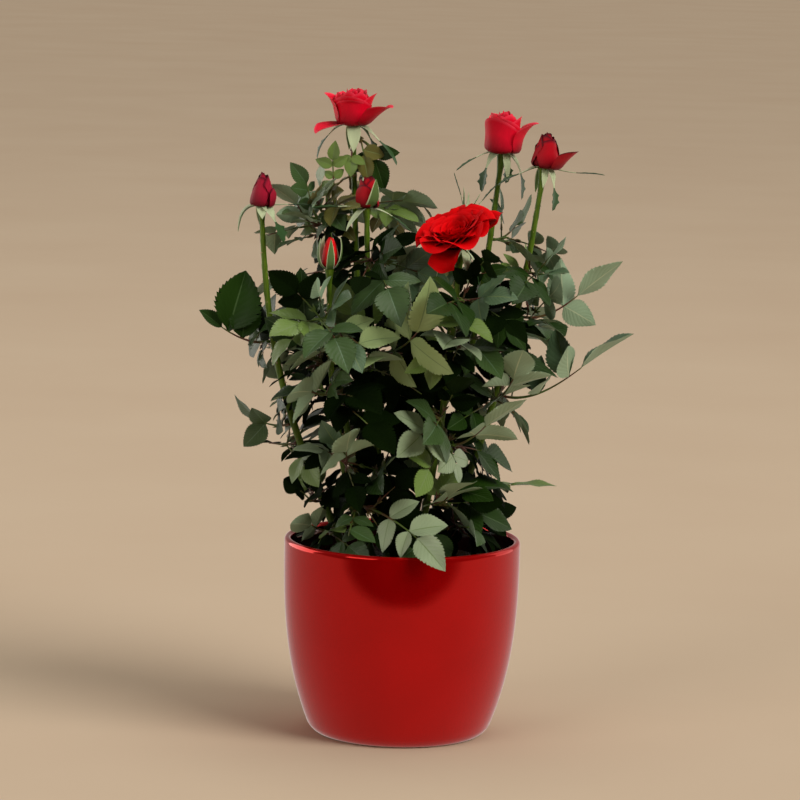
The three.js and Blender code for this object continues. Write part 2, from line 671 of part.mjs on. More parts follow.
Object.entries(CANES).forEach(([name, cane], i) => {
  const caneLimb = standing.find((entry) => entry.node === name).solid;
  const bloom = Object.values(BLOOMS).find((entry) => entry.cane === name);
  const sepals = bloom ? makeSepals(name, cane, bloom.sepals, 100 + i) : [];
  sepals.forEach((sepal) => stand(sepal, name));
  add(name, fuse([caneLimb, ...sepals]), bark);
});

const masses = MASSES.map((row, i) => growShoot(row, i + 1));
masses.forEach(growSideLeaves);
masses.forEach((mass) => add(mass.node, fuse(mass.solids), leafGreen));

export default rose;
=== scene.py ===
"""A miniature rose bush in its glossy red pot, dressed for rendering: the pot, the
potting mix, the canes with their prickles and hips, the blooms and the foliage."""
import math

import bmesh
import bpy
import numpy as np
from mathutils import Matrix, Quaternion, Vector
from mathutils.bvhtree import BVHTree


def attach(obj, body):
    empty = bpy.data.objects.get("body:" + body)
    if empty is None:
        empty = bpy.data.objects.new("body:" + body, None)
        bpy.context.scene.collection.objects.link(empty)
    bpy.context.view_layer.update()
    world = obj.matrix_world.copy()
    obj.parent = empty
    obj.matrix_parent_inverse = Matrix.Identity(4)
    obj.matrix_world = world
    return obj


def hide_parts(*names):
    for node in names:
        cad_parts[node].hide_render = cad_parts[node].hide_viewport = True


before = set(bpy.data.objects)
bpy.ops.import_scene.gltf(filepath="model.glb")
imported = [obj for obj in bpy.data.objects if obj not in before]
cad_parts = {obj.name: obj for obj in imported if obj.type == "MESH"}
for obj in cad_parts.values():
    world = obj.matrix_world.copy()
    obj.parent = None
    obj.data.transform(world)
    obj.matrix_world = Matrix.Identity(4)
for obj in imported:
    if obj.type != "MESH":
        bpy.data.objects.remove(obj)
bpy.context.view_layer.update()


# ---- Studio ----
# A pale seamless floor, a broad key from the front right, a fill from the front left and
# one soft lamp overhead. Two panels and the room are there for the glaze to mirror. The
# camera stands well back with a long lens, turned slightly about its own axis.

def linear(hex_colour):
    """An sRGB colour such as "#a30a0a" as linear red, green, blue and alpha"""
    levels = [int(hex_colour[i:i + 2], 16) / 255 for i in (1, 3, 5)]
    return [x / 12.92 if x <= 0.04045 else ((x + 0.055) / 1.055) ** 2.4 for x in levels] + [1]


def add_node(material, kind, settings=(), links=()):
    """Adds a node. A setting whose name is an input sets that input, any other sets the
    node itself. A link joins an input to another node's output."""
    tree = material.node_tree
    node = tree.nodes.new(kind)
    for name, value in dict(settings).items():
        if isinstance(name, int) or name in node.inputs:
            node.inputs[name].default_value = value
        else:
            setattr(node, name, value)
    for name, (source, output) in dict(links).items():
        tree.links.new(source.outputs[output], node.inputs[name])
    return node


def new_material(name, hex_colour, roughness, **settings):
    """A material with its shader ready: plain values sit on the shader's own sockets"""
    material = bpy.data.materials.new(name)
    material.use_nodes = True
    shader = material.node_tree.nodes["Principled BSDF"]
    shader.inputs["Base Color"].default_value = linear(hex_colour)
    shader.inputs["Roughness"].default_value = roughness
    for socket, value in settings.items():
        shader.inputs[socket.replace("_", " ")].default_value = value
    return material, shader


def link(material, source, output, target, socket):
    material.node_tree.links.new(source.outputs[output], target.inputs[socket])


def mottle(material, noise, tones, stops=(0, 1), stretch=None):
    """Soft patches of two tones that sit on the object itself: the noise and its tones"""
    place = add_node(material, "ShaderNodeTexCoord")
    source = (place, "Object")
    if stretch:
        source = (add_node(material, "ShaderNodeMapping", {"Scale": stretch}, {"Vector": source}), "Vector")
    patches = add_node(material, "ShaderNodeTexNoise", noise, {"Vector": source})
    tone = add_node(material, "ShaderNodeValToRGB", links={"Fac": (patches, "Fac")})
    for element, stop, colour in zip(tone.color_ramp.elements, stops, tones):
        element.position = stop
        element.color = linear(colour)
    return patches, tone


def new_piece(name, mesh, materials, body="root", smooth=True):
    """Puts a finished mesh in the scene, on its body, with its materials"""
    piece = bpy.data.objects.new(name, mesh)
    bpy.context.scene.collection.objects.link(piece)
    for material in materials:
        mesh.materials.append(material)
    if smooth:
        mesh.shade_smooth()
    if body:
        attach(piece, body)
    return piece


CAMERA_PLACE = Vector((-0.0035, -2.4, 0.545))
CAMERA_AIM = Vector((-0.0035, 0, 0.213))
CAMERA_ROLL = math.radians(1.3)
CAMERA_LENS = 172.3  # millimetres, on a sensor 36 millimetres wide
camera = bpy.data.objects.new("camera", bpy.data.cameras.new("camera"))
camera.data.lens = CAMERA_LENS
camera.data.sensor_width = 36
camera.location = CAMERA_PLACE
look = (CAMERA_AIM - CAMERA_PLACE).to_track_quat("-Z", "Y")
camera.rotation_mode = "QUATERNION"
camera.rotation_quaternion = look @ Quaternion((0, 0, 1), CAMERA_ROLL)
bpy.context.scene.collection.objects.link(camera)
bpy.context.scene.camera = camera

# Painted floor: warm and pale, matt, with a faint cloudiness of its trowelled coat
floor_paint, floor_shader = new_material("warm_painted_floor", "#c6b199", 0.9, Specular_IOR_Level=0)
_, cloud_tone = mottle(floor_paint, {"Scale": 3, "Detail": 6}, ("#c1ab93", "#cab79f"))
link(floor_paint, cloud_tone, "Color", floor_shader, "Base Color")
FLOOR_REACH = 40  # metres, so that it runs on past every view
floor_form = bmesh.new()
bmesh.ops.create_grid(floor_form, x_segments=1, y_segments=1, size=FLOOR_REACH)
floor_mesh = bpy.data.meshes.new("floor")
floor_form.to_mesh(floor_mesh)
floor_form.free()
floor = new_piece("floor", floor_mesh, [floor_paint], body=None, smooth=False)
floor.visible_glossy = False  # the glaze mirrors the plain room instead

SOFTBOXES = {
    "top_light": {"place": (0.4, 0.4, 4.2), "size": (2.8, 2.0), "watts": 44},
    "fill_light": {"place": (-3.4, -3.8, 2.4), "size": (2.8, 2.8), "watts": 84},
    "left_panel": {"place": (-1.7, 0.9, 0.6), "size": (1.8, 1.6), "watts": 26},
    "right_panel": {"place": (1.7, 0.9, 0.6), "size": (1.2, 1.6), "watts": 6},
}
KEY_FROM = Vector((1.5, -1.1, 1.5))
KEY_STRENGTH = 2.6
KEY_SPREAD = math.radians(35)
LAMP_WARMTH = (1, 0.96, 0.91)
LAMP_AIM = Vector((0, 0, 0.2))


def hang_lamp(name, kind, place, watts):
    """A lamp at its place, turned towards the bush and out of the camera's sight"""
    light = bpy.data.lights.new(name, kind)
    light.energy = watts
    light.color = LAMP_WARMTH
    lamp = bpy.data.objects.new(name, light)
    lamp.location = place
    lamp.rotation_euler = (LAMP_AIM - Vector(place)).to_track_quat("-Z", "Y").to_euler()
    lamp.visible_camera = False
    bpy.context.scene.collection.objects.link(lamp)
    return lamp


for name, box in SOFTBOXES.items():
    lamp = hang_lamp(name, "AREA", box["place"], box["watts"])
    lamp.data.shape = "RECTANGLE"
    lamp.data.size, lamp.data.size_y = box["size"]
    lamp.visible_diffuse = "panel" not in name  # the panels are there to be mirrored

# The far key lights the whole floor evenly, with shadows as soft as a cloudy sun's
key = hang_lamp("key_light", "SUN", KEY_FROM, KEY_STRENGTH)
key.data.angle = KEY_SPREAD
key.visible_glossy = False

# The room's own light: bright behind the bush and dark behind the camera, with a pale
# band below a tilted horizon, which the pot mirrors under the dark shape of its rim
HORIZON_TILT = -0.177
HORIZON = (-0.07, -0.1)  # the heights between which the pale band fades in
ROOM_STRENGTH = (0.45, 0.8)  # above the band and in it
world = bpy.data.worlds.new("studio")
world.use_nodes = True
sky = world.node_tree.nodes["Background"]
sky_place = add_node(world, "ShaderNodeTexCoord")
sky_parts = add_node(world, "ShaderNodeSeparateXYZ", links={"Vector": (sky_place, "Generated")})
sky_share = add_node(world, "ShaderNodeMapRange", {"From Min": -0.8, "From Max": 0.8},
                     {"Value": (sky_parts, "Y")})
sky_tone = add_node(world, "ShaderNodeValToRGB", links={"Fac": (sky_share, "Result")})
sky_tone.color_ramp.elements[0].color = linear("#1c1b1a")
sky_tone.color_ramp.elements[1].color = linear("#f6f1e8")
sky_tilt = add_node(world, "ShaderNodeMath", {"operation": "MULTIPLY_ADD", 1: HORIZON_TILT},
                    {0: (sky_parts, "Y"), 2: (sky_parts, "Z")})
sky_low = add_node(world, "ShaderNodeMapRange", {"From Min": HORIZON[0], "From Max": HORIZON[1]},
                   {"Value": (sky_tilt, "Value")})
sky_power = add_node(world, "ShaderNodeMapRange", {"To Min": ROOM_STRENGTH[0], "To Max": ROOM_STRENGTH[1]},
                     {"Value": (sky_low, "Result")})
link(world, sky_power, "Result", sky, "Strength")
sky_mix = add_node(world, "ShaderNodeMix",
                   {"data_type": "RGBA", "blend_type": "LIGHTEN", 7: linear("#f4ece0")},
                   {0: (sky_low, "Result"), 6: (sky_tone, "Color")})
link(world, sky_mix, 2, sky, "Color")
bpy.context.scene.world = world
bpy.context.scene.view_settings.view_transform = "Standard"


# ---- Pot ----
# A cover pot of cast and fired earthenware, dipped inside and out in a deep red glaze:
# a rounded lip, walls that turn in towards a smaller foot, and a foot ring wiped bare.

POT_HEIGHT = 0.125
POT_RIM = 0.075
POT_NARROWING = 0.019  # how much slimmer the foot is than the rim
POT_CURVE = 2.85  # how late the wall turns in towards the foot
POT_FOOT = 0.050
POT_CORNER = 0.006
POT_WALL = 0.0045
POT_FLOOR = 0.006
POT_LIP = 0.0022
FOOT_RING = 0.0055  # the breadth of the bare ring that the pot stands on
FOOT_RECESS = 0.0016
BARE_BELOW = 0.0008  # the height up to which the glaze is wiped off
SOIL_TOP = 0.108
GAP = 0.0003  # between two pieces that touch


def pot_radius(z):
    return POT_RIM - POT_NARROWING * (1 - z / POT_HEIGHT) ** POT_CURVE


def spun(profile, segments):
    """Turns a profile of (radius, height) points, from axis to axis, into a closed body"""
    form = bmesh.new()
    points = [form.verts.new((radius, 0, z)) for radius, z in profile]
    edges = [form.edges.new(pair) for pair in zip(points, points[1:])]
    bmesh.ops.spin(form, geom=points + edges, cent=(0, 0, 0), axis=(0, 0, 1),
                   angle=math.tau, steps=segments, use_merge=True)
    bmesh.ops.remove_doubles(form, verts=form.verts, dist=1e-6)
    bmesh.ops.recalc_face_normals(form, faces=form.faces)
    return form


def arc(centre, radius, start, end, steps):
    """Points of (radius, height) on an arc, by its angles in degrees from outwards"""
    turns = [math.radians(start + (end - start) * i / steps) for i in range(steps + 1)]
    return [(centre[0] + radius * math.cos(a), centre[1] + radius * math.sin(a)) for a in turns]


def corner(steps):
    """The rounded edge of the pot's foot"""
    start = Vector((POT_FOOT, 0))
    middle = Vector((pot_radius(0) - 0.001, 0))
    end = Vector((pot_radius(POT_CORNER), POT_CORNER))
    shares = [i / steps for i in range(steps + 1)]
    return [tuple(start.lerp(middle, s).lerp(middle.lerp(end, s), s)) for s in shares]


wall_top = POT_HEIGHT - POT_LIP - 0.001
wall_heights = np.linspace(POT_CORNER, wall_top, 22)[1:]
ring_inside = POT_FOOT - FOOT_RING
foot_recess = [(0, FOOT_RECESS), (ring_inside - 0.0015, FOOT_RECESS)]
foot_recess += [(ring_inside - 0.0005, FOOT_RECESS * 0.75), (ring_inside, 0)]
outside = [(pot_radius(z), z) for z in wall_heights]
inside = [(pot_radius(z) - POT_WALL, z) for z in reversed(wall_heights)]
floor_corner = pot_radius(POT_FLOOR) - POT_WALL
pot_profile = foot_recess + corner(8) + outside
pot_profile += arc((POT_RIM - POT_LIP, POT_HEIGHT - POT_LIP), POT_LIP, 0, 180, 12)
pot_profile += inside + [(floor_corner - 0.001, POT_FLOOR + 0.003)]
pot_profile += [(floor_corner - 0.005, POT_FLOOR), (0, POT_FLOOR)]
pot_form = spun(pot_profile, 128)
pot_mesh = bpy.data.meshes.new("glazed_pot")
for face in pot_form.faces:
    middle = face.calc_center_median()
    if middle.z < BARE_BELOW:
        face.material_index = 1
    # faces on the inner wall take the inner glaze, whose dark red is painted shade
    elif middle.z < POT_HEIGHT - POT_LIP and face.normal.dot(Vector((middle.x, middle.y, 0))) < 0:
        face.material_index = 2
pot_form.to_mesh(pot_mesh)
pot_form.free()

# Fired glaze: glassy and deep red, so that even its mirrorings are red, with the slow
# waves of a dipped coat about 35 mm apart, a little lighter where it lies thinner
GLAZE_WAVE = {"Scale": 28, "Detail": 1.5}
glaze, glaze_shader = new_material("red_fired_glaze", "#8a0204", 0.06, IOR=2.8)
glaze_shader.inputs["Specular Tint"].default_value = (1, 0.05, 0.04, 1)
glaze_wave, glaze_tone = mottle(glaze, GLAZE_WAVE, ("#860203", "#920305"), (0.3, 0.75))
link(glaze, glaze_tone, "Color", glaze_shader, "Base Color")
glaze_bump = add_node(glaze, "ShaderNodeBump", {"Strength": 0.2, "Distance": 0.0005},
                      {"Height": (glaze_wave, "Fac")})
link(glaze, glaze_bump, "Normal", glaze_shader, "Normal")

# Bare fired clay of the wiped foot ring: pale terracotta, dry and finely pitted
bare_clay, clay_shader = new_material("bare_fired_clay", "#b98463", 0.85)
clay_place = add_node(bare_clay, "ShaderNodeTexCoord")
clay_grit = add_node(bare_clay, "ShaderNodeTexNoise", {"Scale": 1800, "Detail": 3},
                     {"Vector": (clay_place, "Object")})
clay_bump = add_node(bare_clay, "ShaderNodeBump", {"Strength": 0.4, "Distance": 0.0002},
                     {"Height": (clay_grit, "Fac")})
link(bare_clay, clay_bump, "Normal", clay_shader, "Normal")

# The same glaze inside, painted nearly black red: painted shade for the shaded inside of the pot
inner_glaze, inner_shader = new_material("inner_glaze_painted_shade", "#2c0204", 0.12, IOR=1.5)
inner_place = add_node(inner_glaze, "ShaderNodeTexCoord")
inner_wave = add_node(inner_glaze, "ShaderNodeTexNoise", GLAZE_WAVE, {"Vector": (inner_place, "Object")})
inner_bump = add_node(inner_glaze, "ShaderNodeBump", {"Strength": 0.2, "Distance": 0.0005},
                      {"Height": (inner_wave, "Fac")})
link(inner_glaze, inner_bump, "Normal", inner_shader, "Normal")

pot = new_piece("glazed_pot", pot_mesh, [glaze, bare_clay, inner_glaze])
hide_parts("pot")


# ---- Potting mix ----
# Peat and bark fines that fill the pot to a finger below its rim: a settled, uneven
# surface with loose crumbs and chips pressed into it.

def chance(seed, place):
    """A number from 0 to 1 that depends only on its seed and its place in the order"""
    wave = math.sin(seed * 127.1 + place * 311.7) * 43758.5453
    return wave - math.floor(wave)


def between(low, high, share):
    return low + (high - low) * share


def smoothstep(low, high, value):
    share = min(max((value - low) / (high - low), 0), 1)
    return share * share * (3 - 2 * share)


MIX_SUNK = 0.0012  # how far the settled surface lies below the full mark
MIX_SWELL = 0.0005
FLOOR_ROUNDING = 0.004  # the mix keeps clear of the pot's rounded floor
mix_radius = pot_radius(SOIL_TOP) - POT_WALL - GAP
mix_floor = POT_FLOOR + GAP
mix_profile = [(0, mix_floor), (pot_radius(mix_floor) - POT_WALL - FLOOR_ROUNDING - GAP, mix_floor)]
mix_profile += [(pot_radius(z) - POT_WALL - GAP, z) for z in (0.026, 0.062, 0.1)]
mix_profile += [(mix_radius * share, SOIL_TOP) for share in np.linspace(1, 0, 26)]
mix_form = spun(mix_profile, 96)
for vertex in mix_form.verts:
    if vertex.co.z > SOIL_TOP - 0.001:
        x, y = vertex.co.x * 100, vertex.co.y * 100
        swell = math.sin(x * 1.7 + 0.6 * y) + math.sin(y * 2.3 - x) + 0.6 * math.sin(5.1 * x + 4.3 * y)
        vertex.co.z -= MIX_SUNK + MIX_SWELL * swell
mix_mesh = bpy.data.meshes.new("potting_mix")
mix_form.to_mesh(mix_mesh)
mix_form.free()

# Damp peat: nearly black brown, crumbly, without any shine
peat, peat_shader = new_material("damp_peat", "#1d140e", 0.95)
peat_noise = {"Scale": 450, "Detail": 6, "Roughness": 0.7}
peat_crumb, peat_tone = mottle(peat, peat_noise, ("#120c08", "#36261a"), (0.35, 0.7))
link(peat, peat_tone, "Color", peat_shader, "Base Color")
peat_bump = add_node(peat, "ShaderNodeBump", {"Strength": 0.8, "Distance": 0.001},
                     {"Height": (peat_crumb, "Fac")})
link(peat, peat_bump, "Normal", peat_shader, "Normal")

mix = new_piece("potting_mix", mix_mesh, [peat])
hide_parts("root_ball")


def form_arrays(form):
    """A small shape's vertices and faces, as arrays to be repeated"""
    form.verts.ensure_lookup_table()
    form.verts.index_update()
    places = np.array([vertex.co for vertex in form.verts])
    faces = [[vertex.index for vertex in face.verts] for face in form.faces]
    return places, faces


def joined_mesh(name, copies, faces, face_slots=None, uv=None, margin=None):
    """One mesh of many copies of a shape. copies holds each one's vertices; face_slots is
    for one copy or, where it has as many rows, for each; uv and margin are for one copy and serve all."""
    count, size = len(copies), len(copies[0])
    corners = [len(face) for face in faces]
    flat = np.array([index for face in faces for index in face])
    mesh = bpy.data.meshes.new(name)
    mesh.vertices.add(count * size)
    mesh.vertices.foreach_set("co", np.asarray(copies, np.float32).ravel())
    loops = (flat[None, :] + size * np.arange(count)[:, None]).ravel()
    mesh.loops.add(len(loops))
    mesh.loops.foreach_set("vertex_index", loops.astype(np.int32))
    starts = np.concatenate([[0], np.cumsum(corners)[:-1]])
    starts = (starts[None, :] + len(flat) * np.arange(count)[:, None]).ravel()
    mesh.polygons.add(len(starts))
    mesh.polygons.foreach_set("loop_start", starts.astype(np.int32))
    mesh.update(calc_edges=True)
    if face_slots is not None:
        slots = np.broadcast_to(face_slots, (count, len(faces))).ravel()
        mesh.polygons.foreach_set("material_index", slots.astype(np.int32))
    if uv is not None:
        layer = mesh.uv_layers.new(name="UVMap")
        layer.uv.foreach_set("vector", np.tile(np.asarray(uv, np.float32)[flat], (count, 1)).ravel())
    mesh.shade_smooth()
    if margin is not None:
        edges = np.zeros(len(mesh.edges) * 2, np.int32)
        mesh.edges.foreach_get("vertices", edges)
        sharp = np.asarray(margin)[edges % size].reshape(-1, 2).all(axis=1)
        layer = mesh.attributes.new("sharp_edge", "BOOLEAN", "EDGE")
        layer.data.foreach_set("value", sharp)
    mesh.validate()
    return mesh


CRUMBS = 2600
CRUMB_SIZES = (0.0006, 0.0024)


def crumb_places(count, seed):
    """Where each crumb lies, its size and its turn"""
    for i in range(count):
        radius = mix_radius * 0.97 * math.sqrt(chance(seed, i))
        turn = math.tau * chance(seed + 1, i)
        size = between(*CRUMB_SIZES, chance(seed + 2, i) ** 3)
        axis = (chance(seed + 3, i) - 0.5, chance(seed + 4, i) - 0.5, 0.7)
        spin = Quaternion(axis, 6 * chance(seed + 5, i))
        yield Vector((radius * math.cos(turn), radius * math.sin(turn), SOIL_TOP - MIX_SUNK)), size, spin


crumb_form = bmesh.new()
bmesh.ops.create_icosphere(crumb_form, subdivisions=1, radius=1)
for i, vertex in enumerate(crumb_form.verts):
    vertex.co *= between(0.7, 1.25, chance(9, i))
    vertex.co.z *= 0.62
crumb, crumb_faces = form_arrays(crumb_form)
crumb_form.free()
crumb_copies = []
for place, size, spin in crumb_places(CRUMBS, 21):
    shape = Matrix.Diagonal((size, size * 0.8, size)) @ spin.to_matrix()
    crumb_copies.append(crumb @ np.array(shape.transposed()) + np.array(place))
crumb_copies = [copy for copy in crumb_copies if np.hypot(copy[:, 0], copy[:, 1]).max() < mix_radius]
crumbs = new_piece("peat_crumbs", joined_mesh("peat_crumbs", crumb_copies, crumb_faces), [peat])
crumbs.data.shade_flat()


# ---- Canes ----
# The bush's own wood of one season: slim green canes that rise from the mix, flared at
# the foot, swollen a little at each bud and into a hip under each bloom. Curved
# prickles stand on the bark.

HIP_BLOOM = 0.0033
HIP_BUD = 0.0025
CANES = {
    "cane_left": {"foot": (-32, -8), "head": (-93, -10, 336), "bow": (-15, 0), "hip": HIP_BUD},
    "cane_front_left": {"foot": (-21, -20), "head": (-49, -45, 301), "bow": (-8, 0), "hip": HIP_BUD},
    "cane_centre": {"foot": (-7, -8), "head": (-27, -20, 337), "bow": (-4, 0), "hip": HIP_BUD},
    "cane_back_left": {"foot": (-9, 17), "head": (-37, 20, 386), "bow": (-6, 2), "hip": HIP_BLOOM},
    "cane_front": {"foot": (7, -15), "head": (32, -34, 315), "bow": (4, -4), "hip": HIP_BLOOM},
    "cane_back_right": {"foot": (13, 13), "head": (58, 25, 371), "bow": (5, 4), "hip": HIP_BLOOM},
    "cane_right": {"foot": (21, -2), "head": (84, 5, 363), "bow": (9, 0), "hip": HIP_BLOOM},
    "cane_spent": {"foot": (2, 3), "head": (36, 15, 329), "bow": (3, 4), "hip": HIP_BUD},
    "cane_young": {"foot": (-19, 5), "head": (-52, 12, 340), "bow": (-6, -2), "hip": 0},
}  # millimetres, but the hips' radii are in metres
UP = Vector((0, 0, 1))
MM = 0.001
GOLDEN_ANGLE = 137.5  # degrees from one prickle, petal or leaf to the next
CANE_FOOT = 0.0027
CANE_HEAD = 0.0016
CANE_FLARE = 0.6
FLARE_HEIGHT = 0.004
HIP_LENGTH = 0.015
CANE_RINGS = 150
CANE_SIDES = 12
CANE_RIBS = 0.035  # how far three low ribs stand out, against the radius
CANE_GRAIN = 0.03  # and how uneven the rind is
NODE_STEP = 0.017  # from one bud to the next
NODE_SWELL = 0.12  # how far a bud swells its cane, against the radius
NODE_REACH = 0.09  # how far that runs up and down, against the step
PRICKLE_STEP = 0.0065
PRICKLY_STRETCH = (0.06, 0.93)  # the part of a cane that is armed
PRICKLE_LENGTHS = (0.0008, 0.0021)
PRICKLE_TAPER = ((0, 0.42), (0.45, 0.2), (1, 0.03))  # place along it, thickness by its length
PRICKLE_OVAL = (1.35, 0.6)  # taller than it is wide
PRICKLE_SIDES = 5
PRICKLE_HOOK = 0.35
PRICKLE_SEAT = 0.86  # where it is rooted, against the cane's radius
HIP_FULLNESS = 1.3  # of the hip's widest radius against the bloom's seat
HIP_NECK = 0.02  # the share of a cane over which it swells into its hip


def cane_point(cane, t):
    """The cane's axis at a share of the way from its foot to its head"""
    foot = Vector((*cane["foot"], (SOIL_TOP + GAP) / MM)) * MM
    bow = Vector((*cane["bow"], 0)) * MM * math.sin(math.pi * t)
    return foot.lerp(Vector(cane["head"]) * MM, t) + bow


def cane_along(cane, t):
    return (cane_point(cane, t + 0.01) - cane_point(cane, t - 0.01)).normalized()


def cane_radius(cane, t):
    rise = (cane["head"][2] * MM - SOIL_TOP) * t
    return between(CANE_FOOT, CANE_HEAD, t) * (1 + CANE_FLARE * math.exp(-rise / FLARE_HEIGHT))


def cane_share(cane, height):
    """Where a cane passes a height, as its share from foot to head"""
    return (height * MM - SOIL_TOP - GAP) / (cane["head"][2] * MM - SOIL_TOP - GAP)


def side_frame(along, side):
    """Two directions square to a stem, the first as near to side as can be"""
    side = (side - along * side.dot(along)).normalized()
    return side, along.cross(side)


CANE_SIDE = Vector((1, 0.2, 0))


def tube(path, radii, sides, side=CANE_SIDE):
    """The vertices of rings that follow a path, and of the caps at its two ends"""
    rings = []
    for i, (point, radius) in enumerate(zip(path, radii)):
        along = (path[min(i + 1, len(path) - 1)] - path[max(i - 1, 0)]).normalized()
        side, other = side_frame(along, side)
        turns = [math.tau * k / sides for k in range(sides)]
        rings.append([point + (side * math.cos(a) + other * math.sin(a)) * radius for a in turns])
    return rings


def add_tube(form, rings, slot=0):
    """Bridges rings into a closed tube in a form"""
    loops = [[form.verts.new(place) for place in ring] for ring in rings]
    faces = []
    for low, high in zip(loops, loops[1:]):
        for k in range(len(low)):
            faces.append(form.faces.new((low[k], low[k - 1], high[k - 1], high[k])))
    faces.append(form.faces.new(loops[0]))
    faces.append(form.faces.new(loops[-1][::-1]))
    for face in faces:
        face.material_index = slot
        face.smooth = True
    return loops


def hip_swell(share):
    """How a hip's radius runs from the stem, at 0, to the foot of the bloom, at 1"""
    return 0.38 + 0.62 * share ** 2 if share < 0.92 else 0.9


def node_swell(height):
    """The low swellings at the buds up a cane"""
    step = (height / NODE_STEP) % 1
    return NODE_SWELL * math.exp(-((step - 0.5) / NODE_REACH) ** 2)


def make_cane(name, cane, seed):
    form = bmesh.new()
    length = (cane_point(cane, 1) - cane_point(cane, 0)).length
    hip_start = 1 - HIP_LENGTH / length if cane["hip"] else 1
    shares = [i / CANE_RINGS for i in range(CANE_RINGS + 1)]
    radii = []
    for t in shares:
        radius = cane_radius(cane, t) * (1 + node_swell(t * length))
        if cane["hip"] and t > hip_start - HIP_NECK:
            swell = hip_swell((t - hip_start + HIP_NECK) / (1 + HIP_NECK - hip_start))
            radius = max(radius, cane["hip"] * HIP_FULLNESS * swell)
        radii.append(radius)
    rings = tube([cane_point(cane, t) for t in shares], radii, CANE_SIDES)
    for i, ring in enumerate(rings):
        axis = sum(ring, Vector()) / len(ring)
        for k in range(CANE_SIDES):
            rib = CANE_RIBS * math.sin(3 * math.tau * k / CANE_SIDES + seed + i * 0.02)
            grain = CANE_GRAIN * (chance(seed, i * 16 + k) - 0.5)
            ring[k] = axis + (ring[k] - axis) * (1 + rib + grain)
    add_tube(form, rings)
    for i in range(round(length / PRICKLE_STEP)):
        t = between(*PRICKLY_STRETCH, (i + chance(seed + 2, i)) / (length / PRICKLE_STEP))
        turn = i * GOLDEN_ANGLE + 40 * chance(seed + 1, i)
        add_prickle(form, cane, t, turn, between(*PRICKLE_LENGTHS, chance(seed + 3, i) ** 1.6))
    mesh = bpy.data.meshes.new(f"{name}_bark")
    form.to_mesh(mesh)
    form.free()
    return mesh


def add_prickle(form, cane, t, turn, length):
    """A flat-footed prickle whose tip hooks down"""
    along = cane_along(cane, t)
    side, other = side_frame(along, Vector((1, 0, 0)))
    out = side * math.cos(math.radians(turn)) + other * math.sin(math.radians(turn))
    across = along.cross(out)
    foot = cane_point(cane, t) + out * cane_radius(cane, t) * PRICKLE_SEAT
    tall, wide = PRICKLE_OVAL
    rings = []
    for share, thick in PRICKLE_TAPER:
        centre = foot + out * length * share - along * length * PRICKLE_HOOK * share ** 2
        turns = [math.tau * k / PRICKLE_SIDES for k in range(PRICKLE_SIDES)]
        oval = [along * math.cos(a) * tall + across * math.sin(a) * wide for a in turns]
        rings.append([centre + place * length * thick for place in reversed(oval)])
    add_tube(form, rings, slot=1)


# Green bark: smooth young rind, waxy, streaked lengthwise with lighter green, browner
# towards the soil
bark, bark_shader = new_material("green_cane_bark", "#4c6822", 0.5, Specular_IOR_Level=0.25)
BARK_GREENS_OVER = 0.11  # the height above the mix over which the brown fades out
bark_noise = {"Scale": 900, "Detail": 4}
bark_streak, bark_tone = mottle(bark, bark_noise, ("#3a560f", "#688224"), (0.3, 0.72), (1, 1, 0.12))
bark_place = add_node(bark, "ShaderNodeTexCoord")
bark_height = add_node(bark, "ShaderNodeSeparateXYZ", links={"Vector": (bark_place, "Object")})
bark_ages = {"From Min": SOIL_TOP, "From Max": SOIL_TOP + BARK_GREENS_OVER, "To Min": 0.75, "To Max": 0}
bark_age = add_node(bark, "ShaderNodeMapRange", bark_ages, {"Value": (bark_height, "Z")})
bark_mix = add_node(bark, "ShaderNodeMix", {"data_type": "RGBA", 7: linear("#2f3a1a")},
                    {0: (bark_age, "Result"), 6: (bark_tone, "Color")})
link(bark, bark_mix, 2, bark_shader, "Base Color")
bark_bump = add_node(bark, "ShaderNodeBump", {"Strength": 0.4, "Distance": 0.0003},
                     {"Height": (bark_streak, "Fac")})
link(bark, bark_bump, "Normal", bark_shader, "Normal")

# Prickle horn: hard, smooth and straw coloured, so that it stands out against the bark
horn, _ = new_material("prickle_horn", "#b9a173", 0.35)

for i, (name, cane) in enumerate(CANES.items()):
    bark_piece = new_piece(f"{name}_bark", make_cane(name, cane, 40 + i), [bark, horn])
    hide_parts(name)


# ---- Sepals ----
# Five under each bloom: thin green tails that wrapped the bud, felted pale inside, with
# leafy, cut ends. They clasp a closed bud and fold back under an open bloom.

def thin_sheet(rows, columns, teeth=0):
    """A closed sheet of two layers that share one margin. X runs along it from 0 to 1, Y
    across it from -1 to 1, and Z is 1 on its face, -1 on its back and 0 at the margin.
    teeth is how many more points there are on each margin edge, for a toothed outline."""
    form = bmesh.new()
    bmesh.ops.create_grid(form, x_segments=rows, y_segments=columns, size=1)
    for vertex in form.verts:
        vertex.co.x = (vertex.co.x + 1) / 2
    if teeth:
        sides = [edge for edge in form.edges if all(abs(v.co.y) > 0.999 for v in edge.verts)]
        bmesh.ops.subdivide_edges(form, edges=sides, cuts=teeth)
        cut = [face for face in form.faces if len(face.verts) > 4]
        bmesh.ops.poke(form, faces=cut)
    margin = [vertex for vertex in form.verts if vertex.is_boundary]
    for vertex in form.verts:
        vertex.co.z = 0 if vertex.is_boundary else 1
    back = bmesh.ops.duplicate(form, geom=form.verts[:] + form.edges[:] + form.faces[:])
    back_faces = [part for part in back["geom"] if isinstance(part, bmesh.types.BMFace)]
    back_verts = [part for part in back["geom"] if isinstance(part, bmesh.types.BMVert)]
    bmesh.ops.reverse_faces(form, faces=back_faces)
    for face in back_faces:
        face.material_index = 1
    for vertex in back_verts:
        vertex.co.z *= -1
    rim = margin + [vertex for vertex in back_verts if abs(vertex.co.z) < 0.5]
    bmesh.ops.remove_doubles(form, verts=rim, dist=1e-5)
    return form


